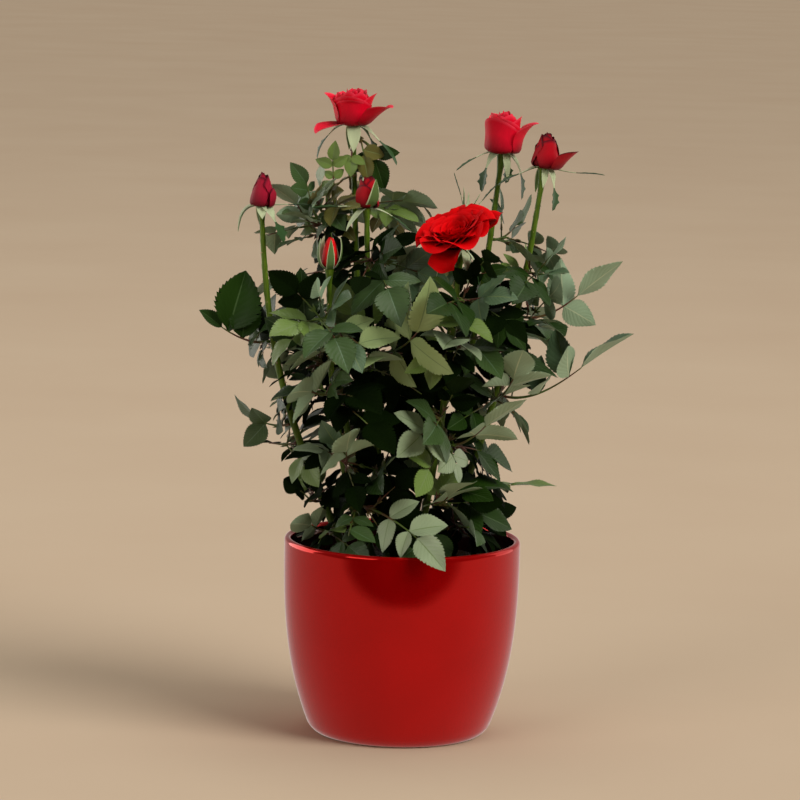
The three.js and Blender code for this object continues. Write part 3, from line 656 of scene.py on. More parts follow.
class Sheet:
    """A thin sheet as arrays: where each vertex stands on it, and its faces"""

    def __init__(self, form, weld=0):
        if weld:
            bmesh.ops.remove_doubles(form, verts=form.verts, dist=weld)
        form.verts.ensure_lookup_table()
        form.verts.index_update()
        self.places, self.faces = form_arrays(form)
        self.along, self.across, self.layer = self.places.T
        self.backs = np.array([face.material_index for face in form.faces])
        self.middles = np.array([face.calc_center_median() for face in form.faces])
        self.margin = np.abs(self.layer) < 0.5
        form.free()


SEPAL_ROWS = 20
SEPAL_COLUMNS = 6
SEPAL_THICKNESS = 0.00045
SEPAL_BELOW = 0.0012
LEAFY_FROM = 0.52  # the share of a long sepal where its leafy end starts
PLAIN_LENGTH = 24  # a sepal up to this long has no leafy end


def sepal_width(along, is_leafy):
    """Half of a sepal's breadth: full above its foot and drawn out to a tail that may
    carry a leafy, cut end"""
    body = math.sin(math.pi * (0.22 + 0.78 * along) ** 0.9) ** 0.9 * 0.5
    if not is_leafy:
        return max(body, 0)
    tail = 0.42 * (1 - smoothstep(0.12, LEAFY_FROM, along)) ** 1.2 + 0.1
    past = min(max((along - LEAFY_FROM) / (1 - LEAFY_FROM), 0), 1)
    end = math.sin(math.pi * past ** 0.9) ** 0.8 * 0.42
    return max(min(body * 1.1, tail), end if along > LEAFY_FROM else 0)


sepal_form = thin_sheet(SEPAL_ROWS, SEPAL_COLUMNS)
for vertex in sepal_form.verts:  # a narrow margin to either side of a broad middle
    vertex.co.y = math.copysign(abs(vertex.co.y) ** 0.5, vertex.co.y)
sepal_sheet = Sheet(sepal_form)


def sepal_places(root, axis, out, tilt, bend, length, breadth, seed):
    """A sepal that leaves its bloom's axis at a tilt and bends on away from it, most
    near its foot"""
    sheet = sepal_sheet
    is_leafy = length > PLAIN_LENGTH
    steps = np.linspace(0, 1, 41)
    angle = np.radians(tilt) + bend * (1 - np.exp(-steps / 0.35)) * (1 + 0.25 * steps)
    angle = angle + 0.25 * (chance(seed, 5) - 0.5) * np.sin(steps * 7)
    stride = np.diff(steps, prepend=0)
    reach = np.interp(sheet.along, steps, np.cumsum(np.sin(angle) * stride)) * length
    rise = np.interp(sheet.along, steps, np.cumsum(np.cos(angle) * stride)) * length
    angle = np.interp(sheet.along, steps, angle)
    cut = np.round(sheet.along * SEPAL_ROWS) % 3 == 1
    lobes = np.where(cut & (sheet.along > LEAFY_FROM) & is_leafy, 1.35, 0.9)
    half = np.array([sepal_width(x, is_leafy) for x in sheet.along]) * lobes
    y = sheet.across * half * breadth * 1.2
    lift = 0.3 * np.abs(y) + sheet.layer * SEPAL_THICKNESS / MM / 2
    sway = length * 0.12 * (chance(seed, 6) - 0.5) * sheet.along ** 2
    local = np.column_stack([reach - lift * np.cos(angle), y + sway, rise + lift * np.sin(angle)])
    return local * MM @ np.array([out, axis.cross(out), axis]) + np.array(root)


SEPAL_FANS = {
    "bloom_top_left": ("cane_back_left", (
        (-85, 100, 1.1, 20, 8), (186, 66, 1.5, 33, 6.5), (-22, 90, 0.95, 38, 7),
        (30, 98, 1.1, 28, 7), (100, 95, 1.2, 21, 6),
    )),
    "bloom_top_right": ("cane_back_right", (
        (196, 92, 0.6, 32, 3.5), (222, 104, 1.2, 31, 7), (-62, 112, 1.0, 20, 5),
        (-16, 108, 1.0, 34, 8), (60, 98, 1.2, 25, 6),
    )),
    "bloom_right": ("cane_right", (
        (188, 96, 0.55, 30, 7), (-4, 86, 0.04, 37, 3), (-38, 106, 1.2, 29, 6.5),
        (-80, 124, 0.8, 14, 4), (100, 96, 1.1, 22, 5),
    )),
    "bloom_front": ("cane_front", (
        (-60, 110, 1.0, 24, 5), (-20, 106, 1.0, 26, 5), (40, 96, 0.6, 22, 5),
        (180, 104, 1.0, 24, 5), (-110, 112, 0.9, 26, 5),
    )),
    "bud_left": ("cane_left", (
        (184, 70, 1.5, 24, 10), (-4, 84, 0.15, 31, 3.5), (-40, 106, 0.85, 28, 8),
        (-86, 84, 1.1, 11, 6), (95, 92, 1.2, 22, 6),
    )),
    "bud_centre": ("cane_centre", (
        (-56, 82, -1.25, 24, 8), (-8, 92, 0.6, 31, 4), (186, 84, 0.1, 33, 7),
        (100, 76, -1.2, 22, 6), (226, 92, 0.8, 21, 5),
    )),
    "bud_front_left": ("cane_front_left", (
        (-82, 84, -1.6, 24, 4.8), (-10, 84, -1.55, 24, 4.6), (62, 84, -1.6, 23, 5),
        (134, 84, -1.6, 23, 5), (206, 84, -1.55, 24, 4.6),
    )),
    "bud_spent": ("cane_spent", (
        (180, 16, 0.1, 30, 2.2), (-150, 8, 0.05, 20, 2.2), (-20, 14, 0.1, 18, 2),
        (20, 26, 0.2, 29, 2.2), (90, 20, 0.1, 18, 2),
    )),
}  # of each sepal: its turn round the bloom and its tilt from upright, in degrees, its bend
#    in radians, and its length and breadth in millimetres

# Sepal rind: grey green and matt outside
sepal_green, _ = new_material("sepal_rind", "#55703a", 0.6)
# Sepal felt: the pale woolly inside and margin, nearly cream
sepal_pale, _ = new_material("sepal_felt", "#b3c098", 0.8, Sheen_Weight=0.3)
# Leafy sepal ends: as dark as the leaves
sepal_leafy, _ = new_material("sepal_leafy_tip", "#33502c", 0.5)

for index, (name, (cane_name, fan)) in enumerate(SEPAL_FANS.items()):
    cane = CANES[cane_name]
    along = cane_along(cane, 1)
    side, other = side_frame(along, Vector((1, 0, 0)))
    copies, slots = [], []
    for i, (turn, tilt, bend, length, breadth) in enumerate(fan):
        turn = math.radians(turn)
        out = side * math.cos(turn) + other * math.sin(turn)
        root = Vector(cane["head"]) * MM - along * SEPAL_BELOW + out * cane["hip"] * 0.55
        copies.append(sepal_places(root, along, out, tilt, bend, length, breadth, 60 + 7 * index + i))
        middles, is_back = sepal_sheet.middles, sepal_sheet.backs == 1
        skin = np.where(is_back & (np.abs(middles[:, 1]) < 0.85), 0, 1)
        slots.append(np.where((middles[:, 0] > LEAFY_FROM) & (length > PLAIN_LENGTH), 2, skin))
    mesh = joined_mesh(f"{name}_sepals", copies, sepal_sheet.faces, np.array(slots),
                       margin=sepal_sheet.margin)
    sepals = new_piece(f"{name}_sepals", mesh, [sepal_green, sepal_pale, sepal_leafy])


# ---- Blooms ----
# Double blooms: a tight cone at the heart, a spiral of velvety petals that range from
# the innermost one to the outermost one, and stray petals that peel away outside. Each
# petal swells from its foot, stands up, leans out and rolls back at its rim.

PETAL_SIZES = ("width", "height", "low", "mid", "high", "foot", "clasp")


def petal_size(*values):
    """A petal's width and height in millimetres, how far it leans low down, half way and
    at its rim in degrees from the bloom's axis, how far out its foot stands, and how
    closely it clasps the petals inside it"""
    return dict(zip(PETAL_SIZES, values))


BLOOMS = {
    "bloom_top_left": {
        "cane": "cane_back_left", "axis": (0.02, -0.06, 1),
        "petals": 9, "late": 1.5, "cone": 7, "swell": 0.36,
        "inner": petal_size(17, 25, 76, 2, -8, 2, 0.95),
        "outer": petal_size(22, 25, 92, 8, 40, 3.4, 0.7),
        "roll": 1.8, "ruffle": 0.25, "point": 0.7,
        "strays": (
            (208, petal_size(15, 24, 84, 98, 114, 3.4, 0)),
            (-32, petal_size(20, 29, 88, 44, 66, 3.6, 0.1)),
            (-104, petal_size(25, 26, 96, 6, 28, 4.0, 0.7)),
            (168, petal_size(20, 27, 96, 10, 44, 3.8, 0.6)),
        ),
    },
    "bloom_top_right": {
        "cane": "cane_back_right", "axis": (0.05, -0.08, 1),
        "petals": 9, "late": 1.4, "cone": 7, "swell": 0.34,
        "inner": petal_size(18, 28, 88, -2, -20, 2, 1),
        "outer": petal_size(24, 29, 102, -3, 16, 3.8, 0.9),
        "roll": 1.5, "ruffle": 0.25, "point": 0.65,
        "strays": (
            (-8, petal_size(22, 30, 106, 4, 60, 4.4, 0.7)),
            (-122, petal_size(26, 29, 106, -3, 18, 4.6, 0.85)),
        ),
    },
    "bloom_right": {
        "cane": "cane_right", "axis": (0.1, -0.04, 1),
        "petals": 7, "late": 1.2, "cone": 5, "swell": 0.34,
        "inner": petal_size(13, 24, 84, -10, -22, 1.4, 1),
        "outer": petal_size(18, 24, 104, -12, -16, 4.2, 1),
        "roll": 0.9, "ruffle": 0.2, "point": 0.5,
        "strays": (
            (-30, petal_size(17, 24, 104, 34, 50, 4.4, 0.4)),
        ),
    },
    "bloom_front": {
        "cane": "cane_front", "axis": (-0.34, -0.36, 0.88),
        "petals": 36, "late": 0.8, "cone": 9, "swell": 0.4,
        "inner": petal_size(11, 15, 34, 6, 6, 1.2, 0.6),
        "outer": petal_size(26, 29, 32, 60, 114, 2.6, 0.25),
        "roll": 2.0, "ruffle": 1.2, "point": 0.35,
        "strays": (
            (-118, petal_size(18, 26, 56, 84, 160, 3, 0)),
            (12, petal_size(16, 31, 60, 74, 66, 3, 0)),
        ),
    },
    "bud_left": {
        "cane": "cane_left", "axis": (0.03, 0, 1),
        "petals": 6, "late": 1, "cone": 3, "swell": 0.32,
        "inner": petal_size(11, 23, 78, -10, -28, 1.4, 1),
        "outer": petal_size(15, 24, 100, -14, -24, 3.4, 1),
        "roll": 0.6, "ruffle": 0.2, "point": 0.5,
        "strays": (
            (-20, petal_size(9, 15, 104, 14, -30, 4.4, 0.9)),
        ),
    },
    "bud_centre": {
        "cane": "cane_centre", "axis": (0, 0, 1),
        "petals": 6, "late": 2.2, "cone": 3, "swell": 0.36,
        "inner": petal_size(10, 21, 58, 0, -10, 1.2, 1),
        "outer": petal_size(14, 16, 94, 0, -26, 3.6, 0.95),
        "roll": 0.7, "ruffle": 0.2, "point": 0.5, "strays": (),
    },
    "bud_front_left": {
        "cane": "cane_front_left", "axis": (0.03, 0, 1),
        "petals": 5, "late": 1, "cone": 3, "swell": 0.34,
        "inner": petal_size(11, 21, 70, -6, -26, 1.0, 1),
        "outer": petal_size(12, 20, 56, -4, -24, 1.2, 1),
        "roll": 0.3, "ruffle": 0.1, "point": 0.5, "strays": (),
    },
    "bud_spent": {
        "cane": "cane_spent", "axis": (0, 0, 1),
        "petals": 5, "late": 1, "cone": 2, "swell": 0.4,
        "inner": petal_size(3, 6, 10, 6, 10, 0.8, 0.5),
        "outer": petal_size(3.4, 7, 30, 10, 34, 1.2, 0.3),
        "roll": 0.2, "ruffle": 0.3, "point": 0.3, "strays": (),
    },
}  # a stray petal starts with its turn round the bloom, in degrees
PETAL_THICKNESS = 0.3
PETAL_WRAP = 13  # the cross curve of a petal that clasps nothing
PETAL_ROWS = 14
PETAL_COLUMNS = 12
BLOOM_SEAT = 0.0009  # how far the petals' feet are sunk in the hip
petal_sheet = Sheet(thin_sheet(PETAL_ROWS, PETAL_COLUMNS))


def petal_places(size, swell, roll, ruffle, point, seed):
    """One petal beside an upright axis, in millimetres"""
    sheet = petal_sheet
    across = sheet.across
    drop = (0.14 + 0.2 * point) * np.abs(across) ** between(2.6, 1.3, point)
    share = sheet.along * (1 - drop + 0.04 * point * (1 - np.abs(across)) ** 2)
    steps = np.linspace(0, 1.08, 60)
    rising = np.clip(steps / swell, 0, 1) ** 1.5
    lean = between(size["low"], size["mid"], rising * rising * (3 - 2 * rising))
    lean = lean + (size["high"] - size["mid"]) * np.clip((steps - swell) / (1 - swell), 0, 1) ** 1.4
    lean = np.radians(lean + 20 * roll * np.clip((steps - 0.86) / 0.2, 0, 1) ** 1.4)
    stride = size["height"] * np.diff(steps, prepend=0)
    out = np.interp(share, steps, np.cumsum(np.sin(lean) * stride)) + size["foot"]
    rise = np.interp(share, steps, np.cumsum(np.cos(lean) * stride))
    lean = np.interp(share, steps, lean) * (1 - size["clasp"])
    half = size["width"] * (0.24 + 0.36 * np.sin(np.clip(share, 0, 1) * 2.0) ** 0.8)
    wrap = np.maximum(between(PETAL_WRAP, out, size["clasp"]), 1.4)
    turn = np.clip(-across * half / wrap, -2.5, 2.5)
    phase = chance(seed, 1) * math.tau
    edge = np.clip((np.abs(across) - 0.6) / 0.4, 0, 1) ** 2 * np.clip(share * 1.4 - 0.2, 0, 1)
    wave = ruffle * (np.sin(across * 4.1 + phase) + 0.6 * np.sin(share * 9 + phase * 2 + across * 2))
    radius = wrap + sheet.layer * PETAL_THICKNESS / 2 + roll * edge + wave * share ** 2
    inward = radius * np.cos(turn) - wrap
    out = out + inward * np.cos(lean)
    rise = rise - inward * np.sin(lean)
    return np.column_stack([out, radius * np.sin(turn), rise])


def turned(places, degrees):
    """Points turned about the upright axis"""
    a = math.radians(degrees)
    x, y, z = places.T
    return np.column_stack([x * math.cos(a) - y * math.sin(a), x * math.sin(a) + y * math.cos(a), z])


def bloom_petals(bloom, seed):
    """The petals of a bloom from the cone at its heart outwards, in metres, in place"""
    cane = CANES[bloom["cane"]]
    axis = Vector(bloom["axis"]).normalized()
    seat = Vector(cane["head"]) * MM - cane_along(cane, 1) * BLOOM_SEAT
    petals = []
    inner = bloom["inner"]
    for k in range(bloom["cone"]):
        share = k / bloom["cone"]
        size = petal_size(
            between(4, inner["width"] * 0.9, share), inner["height"] * between(0.9, 0.98, share),
            between(6, inner["low"], share), between(2, inner["mid"], share),
            between(-2, inner["high"], share), between(0.3, inner["foot"] * 0.9, share), 1,
        )
        petals.append((k * GOLDEN_ANGLE, size, 0.1 + bloom["roll"] * 0.3 * share, bloom["ruffle"] * 0.3))
    for k in range(bloom["petals"]):
        opening = (k / (bloom["petals"] - 1)) ** bloom["late"]
        size = {key: between(inner[key], bloom["outer"][key], opening) for key in inner}
        size["height"] *= between(0.93, 1.05, chance(seed, k))
        size["high"] += between(-9, 9, chance(seed + 1, k)) * opening * (1 - size["clasp"] * 0.7)
        roll, ruffle = bloom["roll"] * between(0.4, 1, opening), bloom["ruffle"] * between(0.5, 1, opening)
        petals.append(((k + bloom["cone"]) * GOLDEN_ANGLE, size, roll, ruffle))
    petals += [(spin, size, bloom["roll"], bloom["ruffle"]) for spin, size in bloom["strays"]]
    lean = np.array(UP.rotation_difference(axis).to_matrix()).T
    copies = []
    for k, (spin, size, roll, ruffle) in enumerate(petals):
        places = petal_places(size, bloom["swell"], roll, ruffle, bloom["point"], seed + 3.3 * k)
        copies.append(turned(places, spin) * MM @ lean + np.array(seat))
    return copies


def petal_velvet(name, bright, deep, rim, sheen=0.12):
    """Petal velvet: fine upright cells that drink the light head on and glow at grazing
    angles, with faint veins that fan out, a darker foot that is painted shade deep in the bloom, and its
    own tone at the rim"""
    velvet, shader = new_material(name, bright, 0.6, Sheen_Weight=sheen, Sheen_Roughness=0.4,
                                  Specular_IOR_Level=sheen * 1.2, Sheen_Tint=linear("#ff3a50"))
    place = add_node(velvet, "ShaderNodeUVMap", {"uv_map": "UVMap"})
    parts = add_node(velvet, "ShaderNodeSeparateXYZ", links={"Vector": (place, "UV")})
    fan = add_node(velvet, "ShaderNodeMapping", {"Scale": (22, 2.4, 1)}, {"Vector": (place, "UV")})
    veins = add_node(velvet, "ShaderNodeTexNoise", {"Scale": 1, "Detail": 2}, {"Vector": (fan, "Vector")})
    tone = add_node(velvet, "ShaderNodeValToRGB", links={"Fac": (parts, "Y")})
    # The petals' feet are painted darker: painted shade down in the heart of the bloom
    foot, face = tone.color_ramp.elements
    foot.position, face.position = 0.1, 0.62
    foot.color, face.color = linear(deep), linear(bright)
    tone.color_ramp.elements.new(0.9).color = linear(bright)
    tone.color_ramp.elements.new(0.99).color = linear(rim)
    link(velvet, tone, "Color", shader, "Base Color")
    bump = add_node(velvet, "ShaderNodeBump", {"Strength": 0.3, "Distance": 0.0003},
                    {"Height": (veins, "Fac")})
    link(velvet, bump, "Normal", shader, "Normal")
    return velvet


# Each velvet by its age: the open bloom is a pure signal red with hardly a glow, the cups
# pinker, the buds deep and dull, and the fading ones darken and blue at their rims
# The second colour of each velvet is its foot's painted shade
open_velvet = petal_velvet("open_petal_velvet", "#cc0408", "#380103", "#d80c12", sheen=0.03)
cup_velvet = petal_velvet("cup_petal_velvet", "#dc0c2c", "#480209", "#f03c54")
bud_velvet = petal_velvet("bud_petal_velvet", "#dc1418", "#6c0610", "#c8141c")
magenta_velvet = petal_velvet("magenta_bud_velvet", "#9a1830", "#500414", "#581020")
aged_velvet = petal_velvet("aged_petal_velvet", "#ac101e", "#300208", "#50121e")
VELVETS = {
    "bloom_top_left": cup_velvet, "bloom_top_right": cup_velvet, "bloom_front": open_velvet,
    "bloom_right": aged_velvet, "bud_centre": aged_velvet, "bud_left": magenta_velvet,
}
petal_uv = np.column_stack([(petal_sheet.across + 1) / 2, petal_sheet.along])
for index, (name, bloom) in enumerate(BLOOMS.items()):
    mesh = joined_mesh(f"{name}_petals", bloom_petals(bloom, 300 + 10 * index), petal_sheet.faces,
                       uv=petal_uv, margin=petal_sheet.margin)
    piece = new_piece(f"{name}_petals", mesh, [VELVETS.get(name, bud_velvet)])
    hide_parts(name)


# ---- Foliage ----
# Shoots leave the canes, each with an end leaf and smaller leaves beside it. A leaf is a
# thin midrib with a leaflet at its tip and pairs below it: toothed, folded along the rib,
# glossy green above and pale and matt beneath.

LEAF = {
    "length": 2.3,  # of a full leaf against its end leaflet
    "shortest": 1.5,  # of a cramped leaf against its end leaflet
    "short_rib": 1,  # a midrib that is shorter, against the end leaflet, has one pair
    "spread": 62,  # degrees between a side leaflet and the midrib
    "width": 0.68,  # against the leaflet's length
    "sink": 0.0003,  # of a leaflet's foot in its midrib
    "bends": (0.05, 0.16),  # how far a leaflet's tip hangs, against its length
    "swings": (-8, 8),  # degrees more or less between a side leaflet and the midrib
    "lifts": (-0.2, 0.12),  # how far a side leaflet stands above or below its leaf
    "sizes": (0.92, 1.06),  # of a side leaflet, from one to the next
    "facing": 1.1,  # how far the blades turn out of the crown, against up
}
TWO_PAIRS = ((0.8, 0.88), (0.36, 0.7))  # place along the midrib, size against the end leaflet
ONE_PAIR = ((0.66, 0.86),)
SHORTEST_SHOOT = 0.008
SHRINKS = (1, 0.82, 0.66)  # the sizes at which a leaflet is tried, where it is in the way
SHIFTS = (0, 6, -6, 12, -12, 18)  # up or down its cane, where a shoot is in the way
FEWEST_LEAFLETS = 3  # a side leaf with less room isn't grown
CLEARANCE = 0.00045  # round each leaflet and stalk
SHOOT_RADII = (0.0012, 0.0005)
STALK_RADII = (0.0007, 0.0004)
BARE_STALK = 0.12  # the share of a side leaf's stalk below its first leaflets
TWIG_SIDE = Vector((0.3, 0.1, 1))

# Each shoot: the cane that carries it, the height at which it leaves, where its end
# leaflet's tip is, the angle at which that leaflet points above the level, the roll of
# its leaf, the length of its end leaflet, and the number of leaves beside it
MASSES = [
    ("left_arch", "cane_young", 316, (-88, 2, 350), 5, -40, 24, 1),
    ("left_shoulder", "cane_young", 316, (-80, -20, 334), 12, -50, 27, 1),
    ("left_upright", "cane_front_left", 240, (-66, -44, 300), 76, 50, 36, 1),
    ("left_big", "cane_left", 250, (-130, -18, 270), 42, -90, 18, 1),
    ("left_outer", "cane_left", 198, (-110, -5, 213), 52, -95, 28, 1),
    ("left_lower", "cane_left", 186, (-106, 2, 184), -15, 30, 30, 1),
    ("left_foot", "cane_left", 150, (-76, -24, 165), 5, 40, 28, 1),
    ("left_back", "cane_left", 244, (-104, 52, 268), 5, -20, 33, 1),
    ("rim_left", "cane_left", 132, (-72, -40, 141), -8, 30, 26, 1),
    ("front_left_high", "cane_front_left", 270, (-84, -78, 262), -18, -30, 35, 2),
    ("front_left_mid", "cane_front_left", 222, (-74, -82, 230), -5, 35, 36, 2),
    ("front_left_low", "cane_front_left", 178, (-34, -80, 206), 20, -30, 36, 2),
    ("rim_front", "cane_front_left", 150, (27, -88, 121), -32, 15, 31, 1),
    ("centre_high", "cane_centre", 304, (-6, -62, 318), 15, 20, 34, 2),
    ("centre_leaf", "cane_centre", 246, (17, -92, 298), 72, 55, 42, 2),
    ("centre_left", "cane_centre", 236, (-26, -88, 250), -20, -40, 37, 2),
    ("centre_low", "cane_centre", 168, (-18, -68, 166), -20, 30, 36, 2),
    ("young_top", "cane_young", 330, (-58, 10, 366), 60, 30, 24, 2),
    ("young_back", "cane_young", 292, (-58, 66, 312), 20, -20, 33, 2),
    ("young_low", "cane_young", 222, (-62, 70, 232), 0, 20, 34, 1),
    ("back_left_high", "cane_back_left", 332, (-14, 34, 350), 15, 40, 27, 2),
    ("back_left_mid", "cane_back_left", 268, (-12, 98, 284), 5, -15, 36, 2),
    ("back_left_low", "cane_back_left", 196, (-30, 82, 178), -12, 20, 34, 1),
    ("front_right_face", "cane_front", 256, (60, -62, 238), -50, 20, 36, 2),
    ("front_right_high", "cane_front", 282, (66, -66, 290), 0, 35, 34, 1),
    ("front_right_low", "cane_front", 208, (14, -88, 200), -10, -30, 36, 2),
    ("front_right_low_b", "cane_front", 190, (74, -62, 226), 25, -62, 36, 1),
    ("front_low", "cane_front", 152, (42, -66, 176), 20, 10, 35, 2),
    ("spent_high", "cane_spent", 296, (12, 24, 336), 40, -30, 29, 2),
    ("spent_back", "cane_spent", 250, (36, 96, 258), 0, 15, 36, 2),
    ("right_face", "cane_right", 215, (71, -60, 257), 60, 75, 30, 1),
    ("back_right_high", "cane_back_right", 314, (80, 40, 341), 50, -45, 32, 1),
    ("back_right_mid", "cane_back_right", 268, (94, 78, 262), -5, -25, 34, 1),
    ("back_right_low", "cane_back_right", 182, (50, 80, 168), -10, 20, 34, 1),
    ("right_upper", "cane_right", 296, (100, -22, 299), 10, 55, 28, 1),
    ("right_high", "cane_right", 268, (134, 8, 305), 38, -97, 36, 1),
    ("right_mid", "cane_right", 218, (142, -8, 261), 32, 32, 40, 1),
    ("right_low", "cane_right", 162, (97, -4, 163), -4, 4, 30, 1),
    ("rim_right", "cane_right", 136, (50, -62, 134), -24, -20, 28, 1),
    ("rim_right_back", "cane_right", 138, (74, 28, 142), -12, 20, 28, 1),
]

# Six small shoots, mostly of young wood, with the same facts in the same order
TWIGS = [
    ("fresh_left", "cane_young", 332, (-48, 2, 376), 60, 100, 13, 1),
    ("fresh_stem", "cane_back_left", 372, (-38, 2, 354), -60, -75, 15, 0),
    ("fresh_right", "cane_back_left", 373, (-27, 8, 350), -65, -105, 19, 0),
    ("hanging_right", "cane_back_left", 376, (-16, 12, 344), -65, -135, 27, 0),
    ("fresh_arch", "cane_young", 336, (-75, 2, 362), 20, 150, 18, 1),
    ("under_bloom", "cane_front", 296, (64, -36, 303), 5, 30, 25, 1),
]

# End leaves that don't lie flat: how far their side leaflets are raised from the leaf,
# how wide these spread, their size against the others', and on which sides they grow
FLAT = {"raise": 0, "spread": LEAF["spread"], "size": 1, "hands": (-1, 1)}
HABITS = {
    "left_big": {**FLAT, "spread": 84, "size": 2.5, "hands": (-1,)},
    "left_outer": {**FLAT, "raise": 0.6},
    "right_high": {**FLAT, "raise": 0.7},
    "right_mid": {**FLAT, "raise": 1.3, "size": 0.9},
    "right_low": {**FLAT, "size": 0.6},
}


class Stem:
    """A Bezier curve that is walked by its length"""

    def __init__(self, *controls):
        self.controls = [np.array(point, float) for point in controls]
        self.shares = np.linspace(0, 1, 121)
        points = self.at(self.shares)
        self.walked = np.concatenate([[0], np.cumsum(np.linalg.norm(np.diff(points, axis=0), axis=1))])
        self.length = float(self.walked[-1])

    def at(self, shares):
        points = [np.broadcast_to(point, (len(shares), 3)) for point in self.controls]
        while len(points) > 1:
            points = [a + (b - a) * shares[:, None] for a, b in zip(points, points[1:])]
        return points[0]

    def point(self, place):
        share = np.interp(place * self.length, self.walked, self.shares)
        return Vector(self.at(np.array([share]))[0])

    def tangent(self, place):
        share = np.interp(place * self.length, self.walked, self.shares)
        low, high = self.at(np.clip([share - 1e-4, share + 1e-4], 0, 1))
        return Vector(high - low).normalized()


class Standing:
    """What is already in place, as small trees of faces, so that new leaves avoid it"""

    MOST = 12000  # shapes that it can hold

    def __init__(self):
        self.trees = []
        self.keys = []
        self.boxes = np.zeros((self.MOST, 2, 3))

    def add(self, places, faces, key):
        places = np.asarray(places)
        self.boxes[len(self.trees)] = places.min(axis=0), places.max(axis=0)
        self.trees.append(BVHTree.FromPolygons([tuple(p) for p in places], faces))
        self.keys.append(key)

    def clear(self, places, faces, may_touch=None):
        places = np.asarray(places)
        boxes = self.boxes[:len(self.trees)]
        low, high = places.min(axis=0), places.max(axis=0)
        near = np.nonzero(((boxes[:, 0] < high) & (boxes[:, 1] > low)).all(axis=1))[0]
        if not len(near):
            return True
        tree = BVHTree.FromPolygons([tuple(p) for p in places], faces)
        return not any(
            tree.overlap(self.trees[i]) for i in near if may_touch is None or self.keys[i] != may_touch
        )


BLADE_FACES = [(0, 2, 4), (0, 4, 3), (0, 3, 5), (0, 5, 2), (1, 4, 2), (1, 3, 4), (1, 5, 3), (1, 2, 5)]
BLADE_BROADEST = 0.42  # the share of its length at which a blade is broadest
BLADE_FOLD = 0.22
BLADE_SAG = 0.177  # of its bend, at its broadest
BLADE_THICKNESS = 0.015


def blade_hull(leaflet):
    """The eight-faced blade that stands for a leaflet, with its clearance round it"""
    length, bend = leaflet["length"], leaflet["bend"]
    half = length * LEAF["width"] / 2
    middle, sag = BLADE_BROADEST * length, bend * length * BLADE_SAG
    edge = BLADE_FOLD * half - sag
    thick = length * BLADE_THICKNESS + CLEARANCE
    local = np.array([
        [0, 0, 0], [length + CLEARANCE, 0, -bend * length],
        [middle, half + CLEARANCE, edge], [middle, -half - CLEARANCE, edge],
        [middle, 0, thick - sag], [middle, 0, -thick - sag],
    ])
    across = leaflet["face"].cross(leaflet["aim"]).normalized()
    normal = leaflet["aim"].cross(across).normalized()
    return local @ np.array([leaflet["aim"], across, normal]) + np.array(leaflet["root"])


def tube_hull(path, radii, sides, side):
    """An open tube along a path, with its clearance round it, as vertices and faces"""
    rings = tube(path, [radius + CLEARANCE for radius in radii], sides, side)
    faces = []
    for low in range(0, sides * (len(path) - 1), sides):
        for k in range(sides):
            beside = (k + 1) % sides
            faces.append((low + k, low + beside, low + sides + beside, low + sides + k))
    return [tuple(place) for ring in rings for place in ring], faces


def stalk_hull(stem, start, end, radii, steps=3):
    """The three-sided tube that stands for a stalk"""
    shares = [i / steps for i in range(steps + 1)]
    path = [stem.point(between(start, end, share)) for share in shares]
    return tube_hull(path, [between(*radii, share) for share in shares], 3, TWIG_SIDE)


def leaf_face(point, along, roll):
    """The upper side of a leaf that runs along: up and out of the crown, then rolled"""
    face = Vector((point.x, point.y, 0)).normalized() * LEAF["facing"] + UP
    face = (face - along * face.dot(along)).normalized()
    face.rotate(Quaternion(along, math.radians(roll)))
    return face


def plan_leaflets(stem, start, end, roll, seed, habit=FLAT):
    """The leaflets of a leaf whose midrib runs from start to end along a stem. The end
    leaflet reaches on to the stem's own end."""
    tip, rib_tip = stem.point(1), stem.point(end)
    aim = (tip - rib_tip).normalized()
    root = rib_tip - aim * LEAF["sink"]
    tip_length = (tip - root).length
    plan = [{"root": root, "aim": aim, "face": leaf_face(rib_tip, aim, roll), "length": tip_length,
             "bend": between(*LEAF["bends"], chance(seed, 0)), "seed": seed}]
    is_short = (end - start) * stem.length < tip_length * LEAF["short_rib"]
    for level, (place, size) in enumerate(ONE_PAIR if is_short else TWO_PAIRS):
        place = between(start, end, place)
        point, along = stem.point(place), stem.tangent(place)
        face = leaf_face(point, along, roll)
        for hand in habit["hands"]:
            draw = 3 + level * 2 + (hand + 1) / 2
            spread = hand * (habit["spread"] + between(*LEAF["swings"], chance(seed, draw)))
            lift = habit["raise"] + between(*LEAF["lifts"], chance(seed, draw + 10))
            own_size = between(*LEAF["sizes"], chance(seed, draw + 20))
            aim = along.copy()
            aim.rotate(Quaternion(face, math.radians(spread)))
            aim = (aim + face * lift).normalized()
            plan.append({
                "root": point - aim * LEAF["sink"], "aim": aim, "face": face, "seed": seed + draw,
                "length": tip_length * size * habit["size"] * own_size,
                "bend": between(*LEAF["bends"], chance(seed, draw + 30)),
            })
    return plan


CROWN_REACHES = (0.066, 0.102)
CROWN_WIDENS = (0.130, 0.270)  # the heights between which it widens
CROWN_NARROWS = (0.300, 0.370)
CROWN_TOP = 0.55  # its reach at the top, against its widest


def crown_radius(z):
    """How far the crown reaches from the pot's axis at a height"""
    spread = between(*CROWN_REACHES, smoothstep(*CROWN_WIDENS, z))
    return spread * between(1, CROWN_TOP, smoothstep(*CROWN_NARROWS, z))


def in_crown(leaflet):
    middle = leaflet["root"] + leaflet["aim"] * leaflet["length"] * 0.5
    return math.hypot(middle.x, middle.y) < crown_radius(middle.z)


def grow_leaflets(plan):
    """The leaflets whose plain blades touch nothing; one in the way is tried smaller.
    The finished leaflets arch further than these blades, so some of them still cross."""
    grown = []
    for leaflet in plan:
        sizes = ({**leaflet, "length": leaflet["length"] * size} for size in SHRINKS)
        fitting = next((each for each in sizes if standing.clear(blade_hull(each), BLADE_FACES)), None)
        if fitting:
            grown.append(fitting)
    return grown


